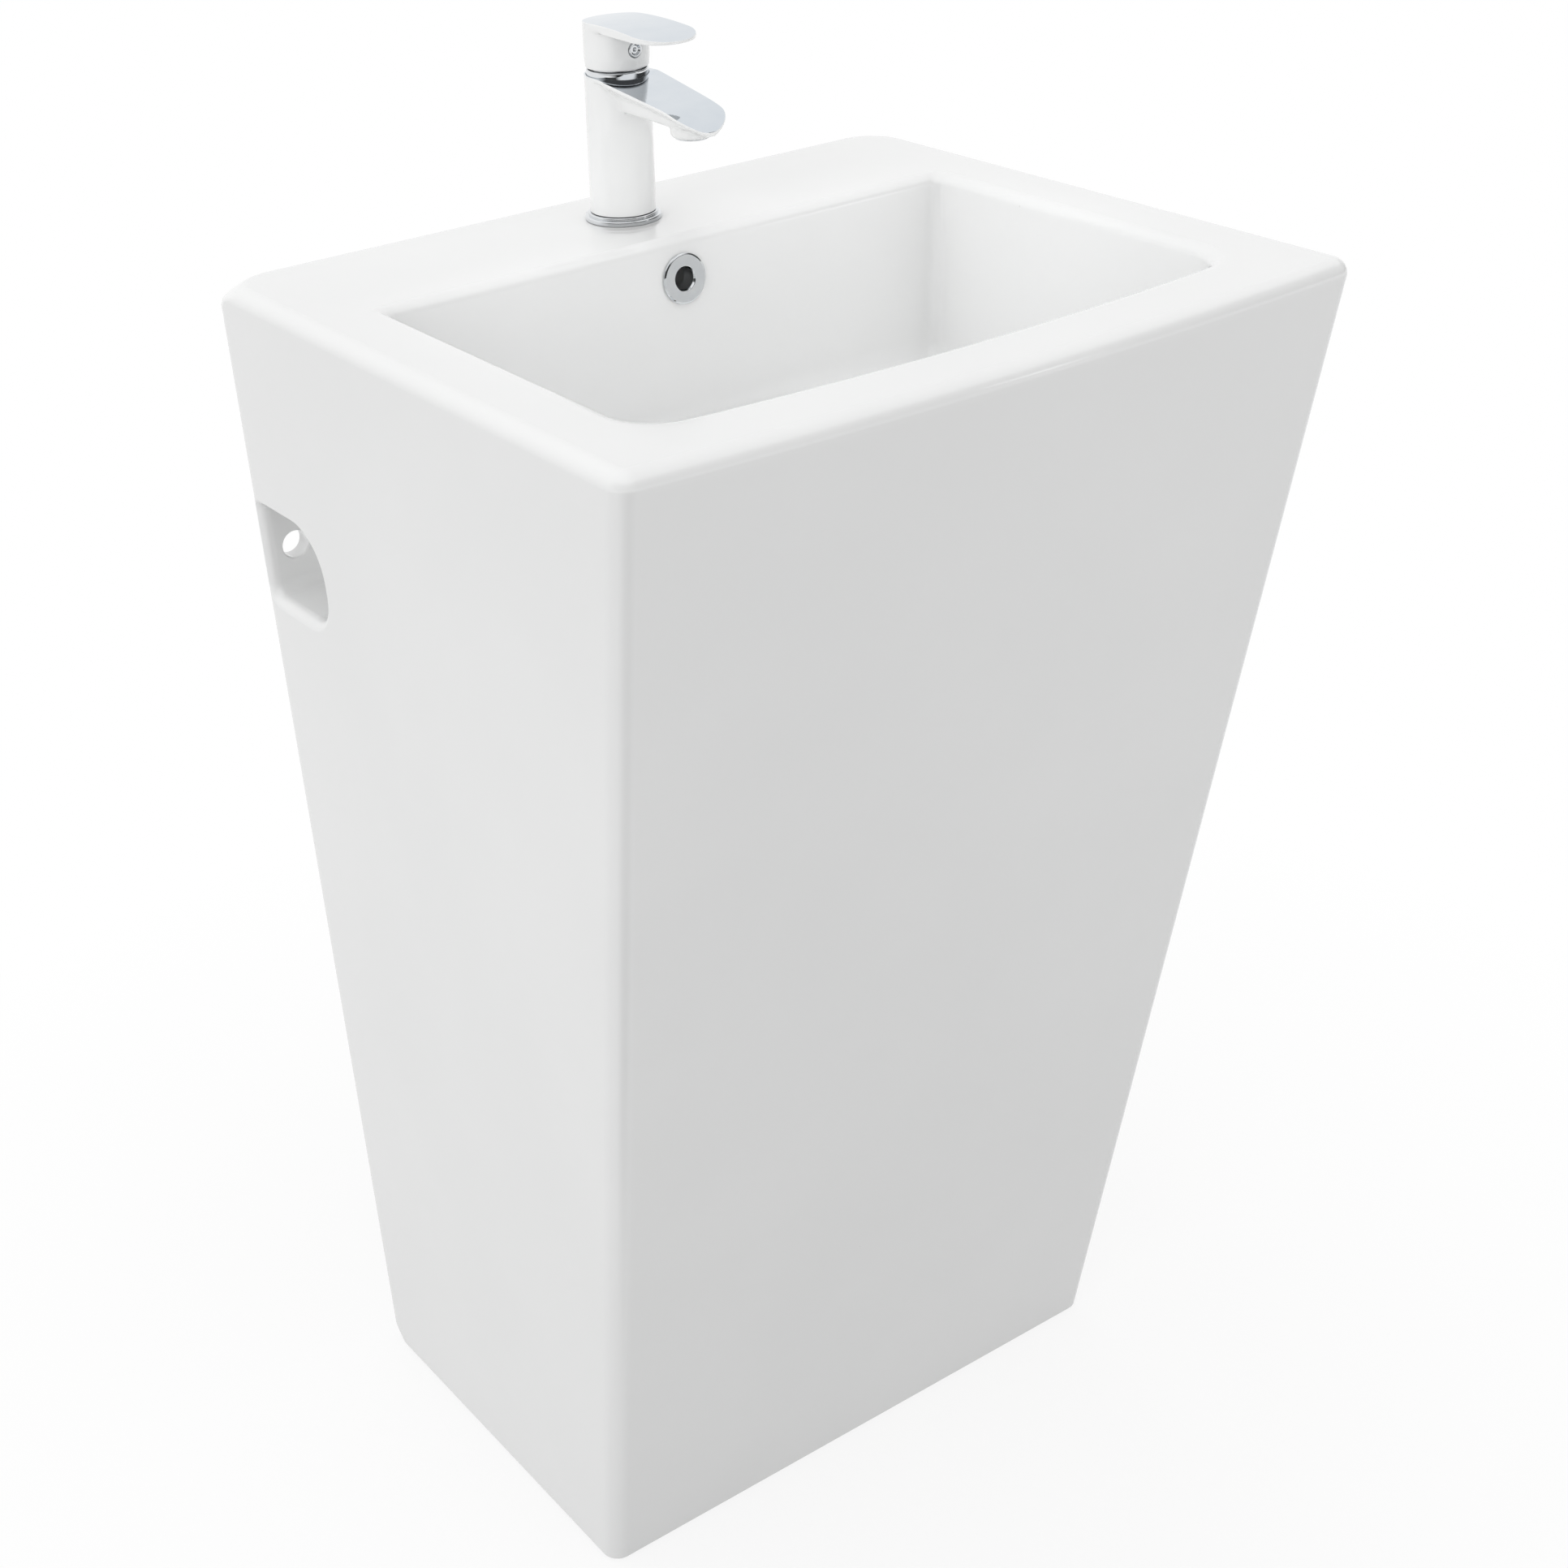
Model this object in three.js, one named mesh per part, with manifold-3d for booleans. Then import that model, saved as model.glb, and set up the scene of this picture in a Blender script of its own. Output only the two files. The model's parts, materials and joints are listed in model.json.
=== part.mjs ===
// Freestanding one-piece washbasin with a single-lever tap, a sprung waste and a bottle trap.
// Millimetres, +Z up, +X to the right, -Y towards the user and +Y towards the wall.
// The origin is on the floor, below the centre of the overall plan.
import * as THREE from 'three';
import { mergeVertices } from 'three/addons/utils/BufferGeometryUtils.js';
import Module from 'manifold-3d';

const wasm = await Module();
wasm.setup();

// ---------------------------------------------------------------- driving dimensions
// Ceramic body, outside
const rimHeight = 850;
const rimWidth = 524;
const rimDepth = 431.4; // wall to front corner
const rimBow = 9; // how far the front edge bulges past its corners
const footWidth = 443;
const footDepth = 303;
const uprightRadius = 12; // upright corner edges
const rimEdgeRadius = 10;
const footChamfer = 2;

// Ceramic body, walls
const skirtWall = 12;
const deckThickness = 14;
const bowlWall = 10;
const ductWall = 8;

// Bowl
const sideRimWidth = 50;
const frontRimWidth = 49;
const deckDepth = 124;
const bowlDepth = 140;
const bowlDraft = THREE.MathUtils.degToRad(6);
const bowlFloorSlope = THREE.MathUtils.degToRad(5);
const bowlFloorRadius = 28;
const mouthRadius = 8;
const mouthFrontCorner = 34;
const mouthBackCorner = 12;
const bowlFloorCorner = 46;

// Side pockets and wall screw holes
const flangeThickness = 12;
const pocketLength = 93; // wall to the round front end
const pocketHeight = 71;
const pocketDrop = 178; // rim to the pocket's centre
const pocketReach = 48; // how far the pocket goes in from the side face
const pocketWall = 9;
const wallHoleRadius = 9;
const wallHoleInset = 22; // hole centre to the side face

// Opening in the back of the pedestal
const serviceWidth = 264;
const serviceBottom = 45;
const serviceHeadroom = 67; // waste pipe's axis to the top of the opening
const serviceCorner = 40;

// Overflow
const overflowDrop = 26; // hole centre below the rim
const overflowHoleRadius = 11.5;
const ductWidth = 40;
const ductGap = 14;
const overflowRingRadius = 16;
const overflowRingFace = 2.2;
const overflowBoreRadius = 7;
const overflowRingChamfer = 0.7;
const overflowSleeveLength = 9;

// Tap
const tapSetback = 62.5; // tap axis to the wall
const tapHoleRadius = 17.5;
const baseRingRadius = 24.5;
const baseRingHeight = 5;
const tapRadius = 21;
const spigotRadius = 17;
const spigotBottom = 1.8;
const baseRingStep = 3.2; // height of the ring's outer step
const baseRingShoulder = 22.4;
const baseRingChamfer = 0.5;
const baseSealHeight = 1.5;
const tapTop = 91; // body top round the collar
const spoutStations = 18;
const spoutSlope = 0.14; // fall for each millimetre forward
const spoutSlopeStart = 12;
const spoutTipCut = 0.98; // share of the round tip that is kept
const spoutTipThickness = 2;
const spoutReach = 97;
const spoutLipDrop = 8.6; // extra fall at the very tip
const spoutLipCurve = 13; // the higher, the shorter the lip
const spoutRootHalfWidth = 22.9;
const spoutShoulder = 20; // length over which the body widens into the spout
const spoutTipHalfWidth = 18.5;
const spoutTipLength = 15;
const webHeight = 70.6; // underside of the spout's web
const noseHeight = 65.1; // underside of the spout's nose
const webHalfWidth = 11;
const noseRadius = 13.2;
const noseChamfer = 1;
const webEnd = 61; // where the underside starts down to the nose
const bladeEdge = 0.6;
const bladeRim = 2.2; // upright edge of the spout's flat top
const bladeRoot = 4.4; // blade's thickness where the nose ends
const bladeTaper = 0.75; // width of the blade's underside to its top
const outletReach = 77; // aerator axis to tap axis
const aeratorRadius = 11;
const aeratorTop = 74.8;
const aeratorWall = 2.1;
const aeratorProud = 0.8;
const aeratorSealHeight = 2.8;
const jetRadius = 1.5;
const spoutChannelRadius = 3.2;
const spoutChannelStart = 79.5;
const spoutChannelEnd = 73.4;
const inletOffset = 6.5;
const inletSetback = 4;
const hosePortRadius = 4.3;
const waterwayRadius = 3.2;
const portDepth = 12;
const studRadius = 3.9;
const studSetback = -12;
const studBelowDeck = 44;
const horseshoeRadius = 24;
const horseshoeSlot = 12.5; // half width, clear of both hoses
const horseshoeSlotStart = -6;
const rubberThickness = 3;
const plateThickness = 2;
const studNutFlats = 13;
const studNutHeight = 12;

// Cartridge, heights above the deck
const cartridgeFloor = 46;
const cartridgeBoreRadius = 19;
const cartridgeRadius = 17.3;
const cartridgeNeckRadius = 14.5;
const cartridgeShoulder = 79.8;
const cartridgeTop = 85;
const cartridgeShell = 1.7;
const cartridgeNeckWall = 2;
const baseThickness = 5.5;
const sealRadius = 5.2;
const fixedDiscRadius = 14;
const movingDiscRadius = 12;
const discThickness = 3;
const discPocketRadius = 8;
const discPocketDepth = 1.4;
const carrierRadius = 12.5;
const carrierHeight = 7;
const rotorTop = 88;
const pivotHeight = 75;
const stemArm = 11; // pivot to the ball below it
const stemWidth = 8;
const stemTop = 112;
const stemBallRadius = 3.2;
const stemNeckRadius = 2.1;
const stemNeckTop = 70;
const socketRadius = 3.6;
const pinRadius = 1.5;
const slotBack = 9.4; // room for the stem as the lever lifts
const slotFront = 7.5;
const discRest = 2; // moving disc ahead of centre towards the wall when shut

// Collar and lever, heights above the deck
const collarRadius = 19.6;
const collarNeckRadius = 18.6;
const collarBoreRadius = 16.2;
const collarBottom = 88;
const collarTop = 94.5;
const collarChamfer = 0.8;
const leverBottom = 95.5;
const leverTop = 124;
const leverRadius = 20.6;
const leverFootRadius = 20;
const leverFootHeight = 7; // height over which the foot widens
const leverCavityRadius = 18.6;
const leverReach = 69;
const leverHalfWidth = 21.5;
const leverCrown = 14; // highest point in front of the tap axis
const leverTipDrop = 4;
const leverTipThickness = 1.6;
const leverRootThickness = 5;
const leverCavityTop = 102;
const indexPlugHeight = 107.7;
const indexPlugRadius = 4.75;
const indexPlugDepth = 3;
const grubRadius = 2.4;
const grubLength = 7.7;

// Sprung waste, heights from the bowl's drain
const drainHoleRadius = 23;
const drainSeatRadius = 33;
const drainSeatDepth = 2;
const wasteRadius = 20.9;
const wasteWall = 2.1;
const wasteLength = 78;
const flangeLip = 1.6;
const flangeLipRadius = 32;
const flangeThroatRadius = 16.9;
const flangeThroatDrop = 2.5;
const flangeSleeve = 9;
const plugTravel = 8;
const plugCapRadius = 30.5;
const plugCapHeight = 5.2;
const plugSealRadius = 28;
const plugSealWidth = 3.5;
const plugBossRadius = 6;
const plugBossHeight = 6;
const spindleRadius = 3;
const spindleHeadRadius = 5;
const spindleHeadHeight = 7;
const springWireRadius = 0.6;
const springRadius = 4.9;
const springTurns = 6;
const guideDrop = 20;
const guideHeight = 6;
const guideBarWidth = 5;
const slotWidth = 14;
const wasteSealHeight = 5;
const wasteSealRadius = 31;
const wasteNutFlats = 56;
const wasteNutHeight = 11;

// Bottle trap, heights from the bowl's drain
const pipeRadius = 16;
const pipeWall = 1.3;
const inletNutRadius = 25;
const inletNutAbove = 10; // thread above the tail's end
const nutShoulder = 3;
const trapHeadTop = -125;
const trapHeadHeight = 58;
const trapOutletDrop = 24; // head top to outlet axis
const trapHeadRadius = 30;
const trapWall = 3;
const trapCupDepth = 72;
const trapThreadHeight = 10;
const trapCollarWall = 3.2;
const trapCupCorner = 7;
const trapSealThickness = 1.2;
const socketWall = 4.6;
const socketLength = 16;
const slipNutRadius = 25;
const slipNutSkirt = 11;
const slipSealHeight = 3;
const slipSealWidth = 3.2;
const dipDepth = 42;
const rosetteRadius = 35;
const rosetteDepth = 12;

// Fits
const seat = 0.3; // gap between pieces that rest on each other
const washer = 1.5; // flat seals and washers

// Facets
const roundFacets = 20;
const smallFacets = 12;
const cornerFacets = 4;
const shellFacets = 3; // corners of the bowl's hidden outside
const bowFacets = 6;
const turnFacets = 8; // each turn of the spring

// ---------------------------------------------------------------- derived places
const { lerp, smoothstep } = THREE.MathUtils;
const wallPlane = (rimDepth + rimBow) / 2;
const widestHeight = rimHeight - rimEdgeRadius;
const tapPlace = new THREE.Vector3(0, wallPlane - tapSetback, rimHeight);
const mouthBack = wallPlane - deckDepth;
const mouthFront = wallPlane - rimDepth + frontRimWidth;
const mouthHalfWidth = rimWidth / 2 - sideRimWidth;
const drainPlace = new THREE.Vector3(0, (mouthBack + mouthFront) / 2, rimHeight - bowlDepth);
const floorThickness = bowlWall;
const bossBottom = -(floorThickness + ductGap + bowlWall);
const pocketCentreHeight = rimHeight - pocketDrop;
const pocketFace = lerp(footWidth, rimWidth, pocketCentreHeight / widestHeight) / 2;
const ductFront = mouthBack + bowlWall;
const ductBack = ductFront + ductGap;
const ductBottom = drainPlace.z - floorThickness - ductGap;
const deckUnderside = rimHeight - deckThickness;
const overflowTilt = 90 - THREE.MathUtils.radToDeg(bowlDraft); // square to the bowl's wall

// ---------------------------------------------------------------- geometry helpers
// Turns a closed three.js geometry into a manifold solid.
function solidOf(geometry) {
  const bare = geometry.clone();
  bare.deleteAttribute('normal');
  bare.deleteAttribute('uv');
  const merged = mergeVertices(bare, 1e-4);
  const corners = merged.index.array;
  const kept = [];
  for (let i = 0; i < corners.length; i += 3) {
    const [a, b, c] = [corners[i], corners[i + 1], corners[i + 2]];
    if (a !== b && b !== c && c !== a) kept.push(a, b, c);
  }
  const vertProperties = new Float32Array(merged.attributes.position.array);
  return new wasm.Manifold(new wasm.Mesh({ numProp: 3, vertProperties, triVerts: new Uint32Array(kept) }));
}

function geometryOf(solid) {
  const mesh = solid.getMesh();
  const geometry = new THREE.BufferGeometry();
  geometry.setAttribute('position', new THREE.BufferAttribute(new Float32Array(mesh.vertProperties), 3));
  geometry.setIndex(new THREE.BufferAttribute(new Uint32Array(mesh.triVerts), 1));
  geometry.computeVertexNormals();
  return geometry;
}

function join(first, ...others) {
  return others.reduce((sum, other) => sum.add(other), first);
}

function cut(first, ...others) {
  return others.reduce((rest, other) => rest.subtract(other), first);
}

// Solid of revolution about Z; profile is [radius, height] pairs, counter-clockwise.
function turned(profile, facets = roundFacets) {
  const points = profile.map(([radius, height]) => new THREE.Vector2(radius, height));
  if (profile[0][0] > 0) points.push(points[0].clone());
  return solidOf(new THREE.LatheGeometry(points, facets).rotateX(Math.PI / 2));
}

function disc(radius, bottom, top, facets) {
  return turned([[0, bottom], [radius, bottom], [radius, top], [0, top]], facets);
}

function ring(inner, outer, bottom, top, facets) {
  return turned([[inner, bottom], [outer, bottom], [outer, top], [inner, top]], facets);
}

function block(x0, x1, y0, y1, z0, z1) {
  const box = new THREE.BoxGeometry(x1 - x0, y1 - y0, z1 - z0);
  return solidOf(box.translate((x0 + x1) / 2, (y0 + y1) / 2, (z0 + z1) / 2));
}

function extrusion(shape, depth, curveSegments) {
  return new THREE.ExtrudeGeometry(shape, { depth, bevelEnabled: false, curveSegments });
}

// Flat outline in XY, raised from bottom to top.
function raised(shape, bottom, top, curveSegments = roundFacets / 2) {
  return solidOf(extrusion(shape, top - bottom, curveSegments).translate(0, 0, bottom));
}

// Outline in (y, z), carried from left to right along X.
function across(shape, left, right, curveSegments = 1) {
  const geometry = extrusion(shape, right - left, curveSegments);
  return solidOf(geometry.rotateX(Math.PI / 2).rotateZ(Math.PI / 2).translate(left, 0, 0));
}

// Outline in (x, z), carried from front to back along Y.
function facing(shape, front, back, curveSegments) {
  const geometry = extrusion(shape, back - front, curveSegments);
  return solidOf(geometry.rotateX(Math.PI / 2).translate(0, back, 0));
}

function roundedRectangle(x0, x1, y0, y1, radius) {
  const shape = new THREE.Shape();
  shape.absarc(x1 - radius, y0 + radius, radius, -Math.PI / 2, 0);
  shape.absarc(x1 - radius, y1 - radius, radius, 0, Math.PI / 2);
  shape.absarc(x0 + radius, y1 - radius, radius, Math.PI / 2, Math.PI);
  shape.absarc(x0 + radius, y0 + radius, radius, Math.PI, 1.5 * Math.PI);
  return shape;
}

// Round bar between two points.
function bar(from, to, radius, facets = smallFacets) {
  const cylinder = new THREE.CylinderGeometry(radius, radius, from.distanceTo(to), facets);
  const along = new THREE.Vector3().subVectors(to, from).normalize();
  cylinder.applyQuaternion(new THREE.Quaternion().setFromUnitVectors(new THREE.Vector3(0, 1, 0), along));
  const middle = new THREE.Vector3().lerpVectors(from, to, 1 / 2);
  return solidOf(cylinder.translate(middle.x, middle.y, middle.z));
}

function hexagon(acrossFlats) {
  const sides = 6;
  const corners = [];
  for (let corner = 0; corner < sides; corner += 1) {
    const point = new THREE.Vector2(acrossFlats / 2 / Math.cos(Math.PI / sides), 0);
    corners.push(point.rotateAround(new THREE.Vector2(), (corner * 2 * Math.PI) / sides));
  }
  return new THREE.Shape(corners);
}

// Skins a stack of flat outlines that all have the same number of points.
function lofted(sections) {
  const count = sections[0].length;
  const positions = sections.flat().flatMap((point) => [point.x, point.y, point.z]);
  const index = [];
  for (let level = 0; level < sections.length - 1; level += 1) {
    for (let i = 0; i < count; i += 1) {
      const next = (i + 1) % count;
      const low = level * count;
      const high = low + count;
      index.push(low + i, low + next, high + next, low + i, high + next, high + i);
    }
  }
  const top = (sections.length - 1) * count;
  for (const [a, b, c] of capTriangles(sections[0])) index.push(c, b, a);
  for (const [a, b, c] of capTriangles(sections.at(-1))) index.push(top + a, top + b, top + c);
  const geometry = new THREE.BufferGeometry();
  geometry.setAttribute('position', new THREE.Float32BufferAttribute(positions, 3));
  geometry.setIndex(index);
  return solidOf(geometry);
}

// Triangles of a flat outline, counter-clockwise seen against the stack's direction.
function capTriangles(section) {
  const flatInY = section.every((point) => Math.abs(point.y - section[0].y) < 1e-6);
  const contour = section.map((point) => new THREE.Vector2(point.x, flatInY ? point.z : point.y));
  return THREE.ShapeUtils.triangulateShape(contour, []);
}

// ---------------------------------------------------------------- ceramic body
// Plan outline with two pairs of corner radii and a bowed front edge, counter-clockwise.
function planOutline({ halfWidth, back, front, bow, backRadius, frontRadius, sideFacets = 1 }) {
  const path = new THREE.Path();
  const frontX = halfWidth - frontRadius;
  const backX = halfWidth - backRadius;
  const frontY = front + frontRadius;
  const backY = back - backRadius;
  path.absarc(-frontX, frontY, frontRadius, Math.PI, 1.5 * Math.PI);
  addSide(path, [-frontX, front], [frontX, front], bowFacets, bow);
  path.absarc(frontX, frontY, frontRadius, 1.5 * Math.PI, 2 * Math.PI);
  addSide(path, [halfWidth, frontY], [halfWidth, backY], sideFacets);
  path.absarc(backX, backY, backRadius, 0, 0.5 * Math.PI);
  addSide(path, [backX, back], [-backX, back], sideFacets);
  path.absarc(-backX, backY, backRadius, 0.5 * Math.PI, Math.PI);
  addSide(path, [-halfWidth, backY], [-halfWidth, frontY], sideFacets);
  return path.getPoints(cornerFacets);
}

// Adds the inner points of a side that bulges outwards by bow in its middle.
function addSide(path, [fromX, fromY], [toX, toY], facets, bow = 0) {
  const outward = new THREE.Vector2(toY - fromY, fromX - toX).normalize();
  for (let step = 1; step < facets; step += 1) {
    const share = step / facets;
    const bulge = 4 * bow * share * (1 - share);
    path.lineTo(lerp(fromX, toX, share) + outward.x * bulge, lerp(fromY, toY, share) + outward.y * bulge);
  }
}

function atHeight(outline, height) {
  return outline.map((point) => new THREE.Vector3(point.x, point.y, height));
}

// Outline of the pedestal at a height, moved inwards by inset.
function skirtSection(height, inset, shownHeight = height) {
  const rise = height / widestHeight;
  const radius = Math.max(uprightRadius - inset, 1);
  const outline = planOutline({
    halfWidth: lerp(footWidth, rimWidth, rise) / 2 - inset,
    back: wallPlane - inset,
    front: wallPlane - lerp(footDepth, rimDepth, rise) + inset,
    bow: rimBow * rise,
    backRadius: radius,
    frontRadius: radius,
  });
  return atHeight(outline, shownHeight);
}

function pedestalBlank() {
  const sections = [skirtSection(0, footChamfer), skirtSection(footChamfer, 0)];
  for (let step = 0; step <= cornerFacets; step += 1) {
    const angle = (step / cornerFacets) * (Math.PI / 2);
    const height = widestHeight + rimEdgeRadius * Math.sin(angle);
    sections.push(skirtSection(height, rimEdgeRadius * (1 - Math.cos(angle))));
  }
  return lofted(sections);
}

function pedestalCavity() {
  return lofted([skirtSection(0, skirtWall, -1), skirtSection(deckUnderside, skirtWall)]);
}

// Outline of the bowl at a share of its depth, moved inwards by inset.
function bowlSection(height, inset, share) {
  const outline = planOutline({
    halfWidth: mouthHalfWidth - inset,
    back: mouthBack - inset,
    front: mouthFront + inset,
    bow: rimBow * (1 - share),
    backRadius: lerp(mouthBackCorner, bowlFloorCorner, share),
    frontRadius: lerp(mouthFrontCorner, bowlFloorCorner, share),
    sideFacets: bowFacets,
  });
  return atHeight(outline, height);
}

// How far the bowl's sloping wall has come in at a height.
function bowlWallInset(height) {
  return Math.tan(bowlDraft) * (rimHeight - mouthRadius - height);
}

// The bowl's hollow, or with grow the shell around it.
function bowlForm(grow) {
  const floorEdge = rimHeight - bowlDepth + bowlFloorRadius + bowlFloorFall();
  const wallInset = bowlWallInset(floorEdge);
  const radius = bowlFloorRadius + grow;
  const sections = [];
  const lip = drainPlace.z - grow;
  const seatOutline = [];
  const lastAngle = Math.PI / 2 - bowlFloorSlope;
  const facets = grow > 0 ? shellFacets : cornerFacets;
  for (let step = facets; step >= 0; step -= 1) {
    const angle = lerp(bowlDraft, lastAngle, step / facets);
    const inset = wallInset - grow + radius * (Math.cos(bowlDraft) - Math.cos(angle));
    const height = floorEdge - radius * (Math.sin(angle) - Math.sin(bowlDraft));
    sections.push(bowlSection(height, inset, 1));
  }
  for (const point of sections[0]) {
    const away = new THREE.Vector2(point.x - drainPlace.x, point.y - drainPlace.y);
    away.setLength(drainSeatRadius);
    seatOutline.push(new THREE.Vector3(drainPlace.x + away.x, drainPlace.y + away.y, lip));
  }
  sections.unshift(seatOutline);
  if (grow > 0) {
    sections.push(bowlSection(rimHeight, -grow, 0));
    return lofted(sections);
  }
  for (let step = cornerFacets; step >= 0; step -= 1) {
    const angle = (step / cornerFacets) * (Math.PI / 2);
    const height = rimHeight - mouthRadius * (1 - Math.cos(angle));
    sections.push(bowlSection(height, -mouthRadius * (1 - Math.sin(angle)), 0));
  }
  sections.push(bowlSection(rimHeight + 1, -mouthRadius, 0));
  return lofted(sections);
}

// Fall of the bowl's floor from its rounded edge to the drain.
function bowlFloorFall() {
  return Math.tan(bowlFloorSlope) * (mouthHalfWidth - drainSeatRadius) / 2;
}

// Side pocket in the left (-1) or right (1) face, grown by the thickness of its own wall.
function pocketForm(side, grow) {
  const radius = pocketHeight / 2;
  const shape = new THREE.Shape();
  const flange = grow - flangeThickness;
  shape.moveTo(flange, -radius - grow);
  shape.lineTo(flange, radius + grow);
  shape.absarc(radius - pocketLength, 0, radius + grow, Math.PI / 2, 1.5 * Math.PI);
  const inner = pocketFace - pocketReach - grow;
  const outer = rimWidth / 2 - 1;
  const [left, right] = side > 0 ? [inner, outer] : [-outer, -inner];
  return across(shape, left, right, cornerFacets * 2).translate([0, wallPlane, pocketCentreHeight]);
}

function overflowDuct(grow) {
  const halfWidth = ductWidth / 2 + grow;
  const back = ductBack + grow;
  const floor = ductBottom - (grow > 0 ? bowlWall : 0);
  const under = drainPlace.z - (grow > 0 ? 0 : floorThickness);
  const upright = block(-halfWidth, halfWidth, ductFront - grow, back, floor, deckUnderside + seat);
  return upright.add(block(-halfWidth, halfWidth, drainPlace.y, back, floor, under));
}

function drainBoss() {
  const boss = disc(drainSeatRadius + bowlWall, bossBottom, 0);
  return boss.translate(drainPlace.toArray());
}

function drainHollows() {
  const hole = disc(drainHoleRadius, bossBottom - 1, 1);
  const recess = disc(drainSeatRadius, -drainSeatDepth, 1);
  const chamber = disc(drainSeatRadius, -floorThickness - ductGap, -floorThickness);
  return join(hole, recess, chamber).translate(drainPlace.toArray());
}

function serviceOpening() {
  const half = serviceWidth / 2;
  const serviceTop = drainPlace.z + trapOutletHeight + serviceHeadroom;
  const opening = roundedRectangle(-half, half, serviceBottom, serviceTop, serviceCorner);
  return facing(opening, wallPlane - skirtWall - 1, wallPlane + 1, cornerFacets);
}

function wallHole(side) {
  const x = side * (pocketFace - wallHoleInset);
  const front = new THREE.Vector3(x, wallPlane - flangeThickness - 1, pocketCentreHeight);
  return bar(front, front.clone().setY(wallPlane + 1), wallHoleRadius);
}

function basinPedestal() {
  const shells = [bowlForm(bowlWall), overflowDuct(ductWall), drainBoss()];
  const hollows = [bowlForm(0), overflowDuct(0), drainHollows(), serviceOpening()];
  for (const side of [-1, 1]) {
    shells.push(pocketForm(side, pocketWall));
    hollows.push(pocketForm(side, 0), wallHole(side));
  }
  hollows.push(disc(tapHoleRadius, -deckThickness - 1, 1).translate(tapPlace.toArray()));
  const overflowHole = disc(overflowHoleRadius, -2 * bowlWall, bowlWall).rotate([overflowTilt, 0, 0]);
  hollows.push(overflowHole.translate(overflowPlace().toArray()));
  return cut(pedestalBlank(), cut(pedestalCavity(), ...shells), ...hollows);
}

// Centre of the overflow hole, on the bowl's sloping back wall.
function overflowPlace() {
  const height = rimHeight - overflowDrop;
  return new THREE.Vector3(0, mouthBack - bowlWallInset(height), height);
}

// Flanged sleeve in the overflow hole, made upright and then laid over.
function overflowRing() {
  const sleeve = overflowHoleRadius - seat;
  return turned([
    [overflowBoreRadius, -overflowSleeveLength],
    [sleeve, -overflowSleeveLength],
    [sleeve, seat],
    [overflowRingRadius, seat],
    [overflowRingRadius, overflowRingFace - overflowRingChamfer],
    [overflowRingRadius - overflowRingChamfer, overflowRingFace],
    [overflowBoreRadius + overflowRingChamfer, overflowRingFace],
    [overflowBoreRadius, overflowRingFace - overflowRingChamfer],
  ]);
}

// ---------------------------------------------------------------- tap body and spout
const noseStart = outletReach - noseRadius;
const noseEnd = outletReach + noseRadius;

// Height of the body's sloping top, forward being the distance from the tap axis to the user.
function spoutTopAt(forward) {
  if (forward < spoutSlopeStart) return tapTop;
  const lip = spoutLipDrop * (forward / spoutReach) ** spoutLipCurve;
  return tapTop - spoutSlope * (forward - spoutSlopeStart) - lip;
}

function spoutUndersideAt(forward) {
  if (forward < noseEnd) return lerp(webHeight, noseHeight, smoothstep(forward, webEnd, noseStart));
  const share = (forward - noseEnd) / (spoutReach - noseEnd);
  return spoutTopAt(forward) - lerp(bladeRoot, spoutTipThickness, share);
}

function spoutHalfWidthAt(forward) {
  const tipStart = spoutReach - spoutTipLength;
  const taper = lerp(spoutRootHalfWidth, spoutTipHalfWidth, Math.min(forward / tipStart, 1));
  const past = Math.max((forward - tipStart) / spoutTipLength, 0) * spoutTipCut;
  return lerp(tapRadius, taper, smoothstep(forward, 0, spoutShoulder)) * Math.sqrt(1 - past ** 2);
}

// Half width of the underside: the web, the round nose under the aerator, then the blade.
function spoutFootAt(forward) {
  if (forward < noseStart) return webHalfWidth;
  if (forward > noseEnd) return spoutHalfWidthAt(forward) * bladeTaper;
  const past = ((forward - outletReach) / noseRadius) * spoutTipCut;
  return noseRadius * Math.sqrt(1 - past ** 2);
}

// Cross-section of the spout: a flat top with upright rims, and sides that draw in below.
function spoutSection(forward) {
  const half = spoutHalfWidthAt(forward);
  const foot = spoutFootAt(forward);
  const top = spoutTopAt(forward);
  const underside = spoutUndersideAt(forward);
  const thickness = top - underside;
  const corner = Math.min(noseChamfer, foot / 2, thickness / 4);
  const rim = top - Math.min(bladeRim, thickness / 2);
  const right = [
    [foot - corner, underside],
    [foot, underside + corner],
    [lerp(foot, half, 1 / 3), lerp(underside + corner, rim, 2 / 3)],
    [half, rim],
    [half - bladeEdge, top],
  ];
  const left = right.map(([x, z]) => [-x, z]).reverse();
  return [...right, ...left].map(([x, z]) => new THREE.Vector3(x, -forward, z));
}

function stations() {
  const steps = Array.from({ length: spoutStations + 1 }, (_, step) => step / spoutStations);
  const forwards = steps.map((share) => spoutReach * Math.sin((share * Math.PI) / 2));
  return [...forwards, webEnd, noseStart, noseEnd].sort((a, b) => a - b);
}

// Everything above the body's sloping top.
function aboveSpout() {
  const shape = new THREE.Shape();
  const ceiling = collarTop + leverTop;
  shape.moveTo(2 * tapRadius, spoutTopAt(-2 * tapRadius));
  shape.lineTo(2 * tapRadius, ceiling);
  shape.lineTo(-spoutReach, ceiling);
  for (const forward of stations().reverse()) shape.lineTo(-forward, spoutTopAt(forward));
  return across(shape, -2 * tapRadius, 2 * tapRadius);
}

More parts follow.
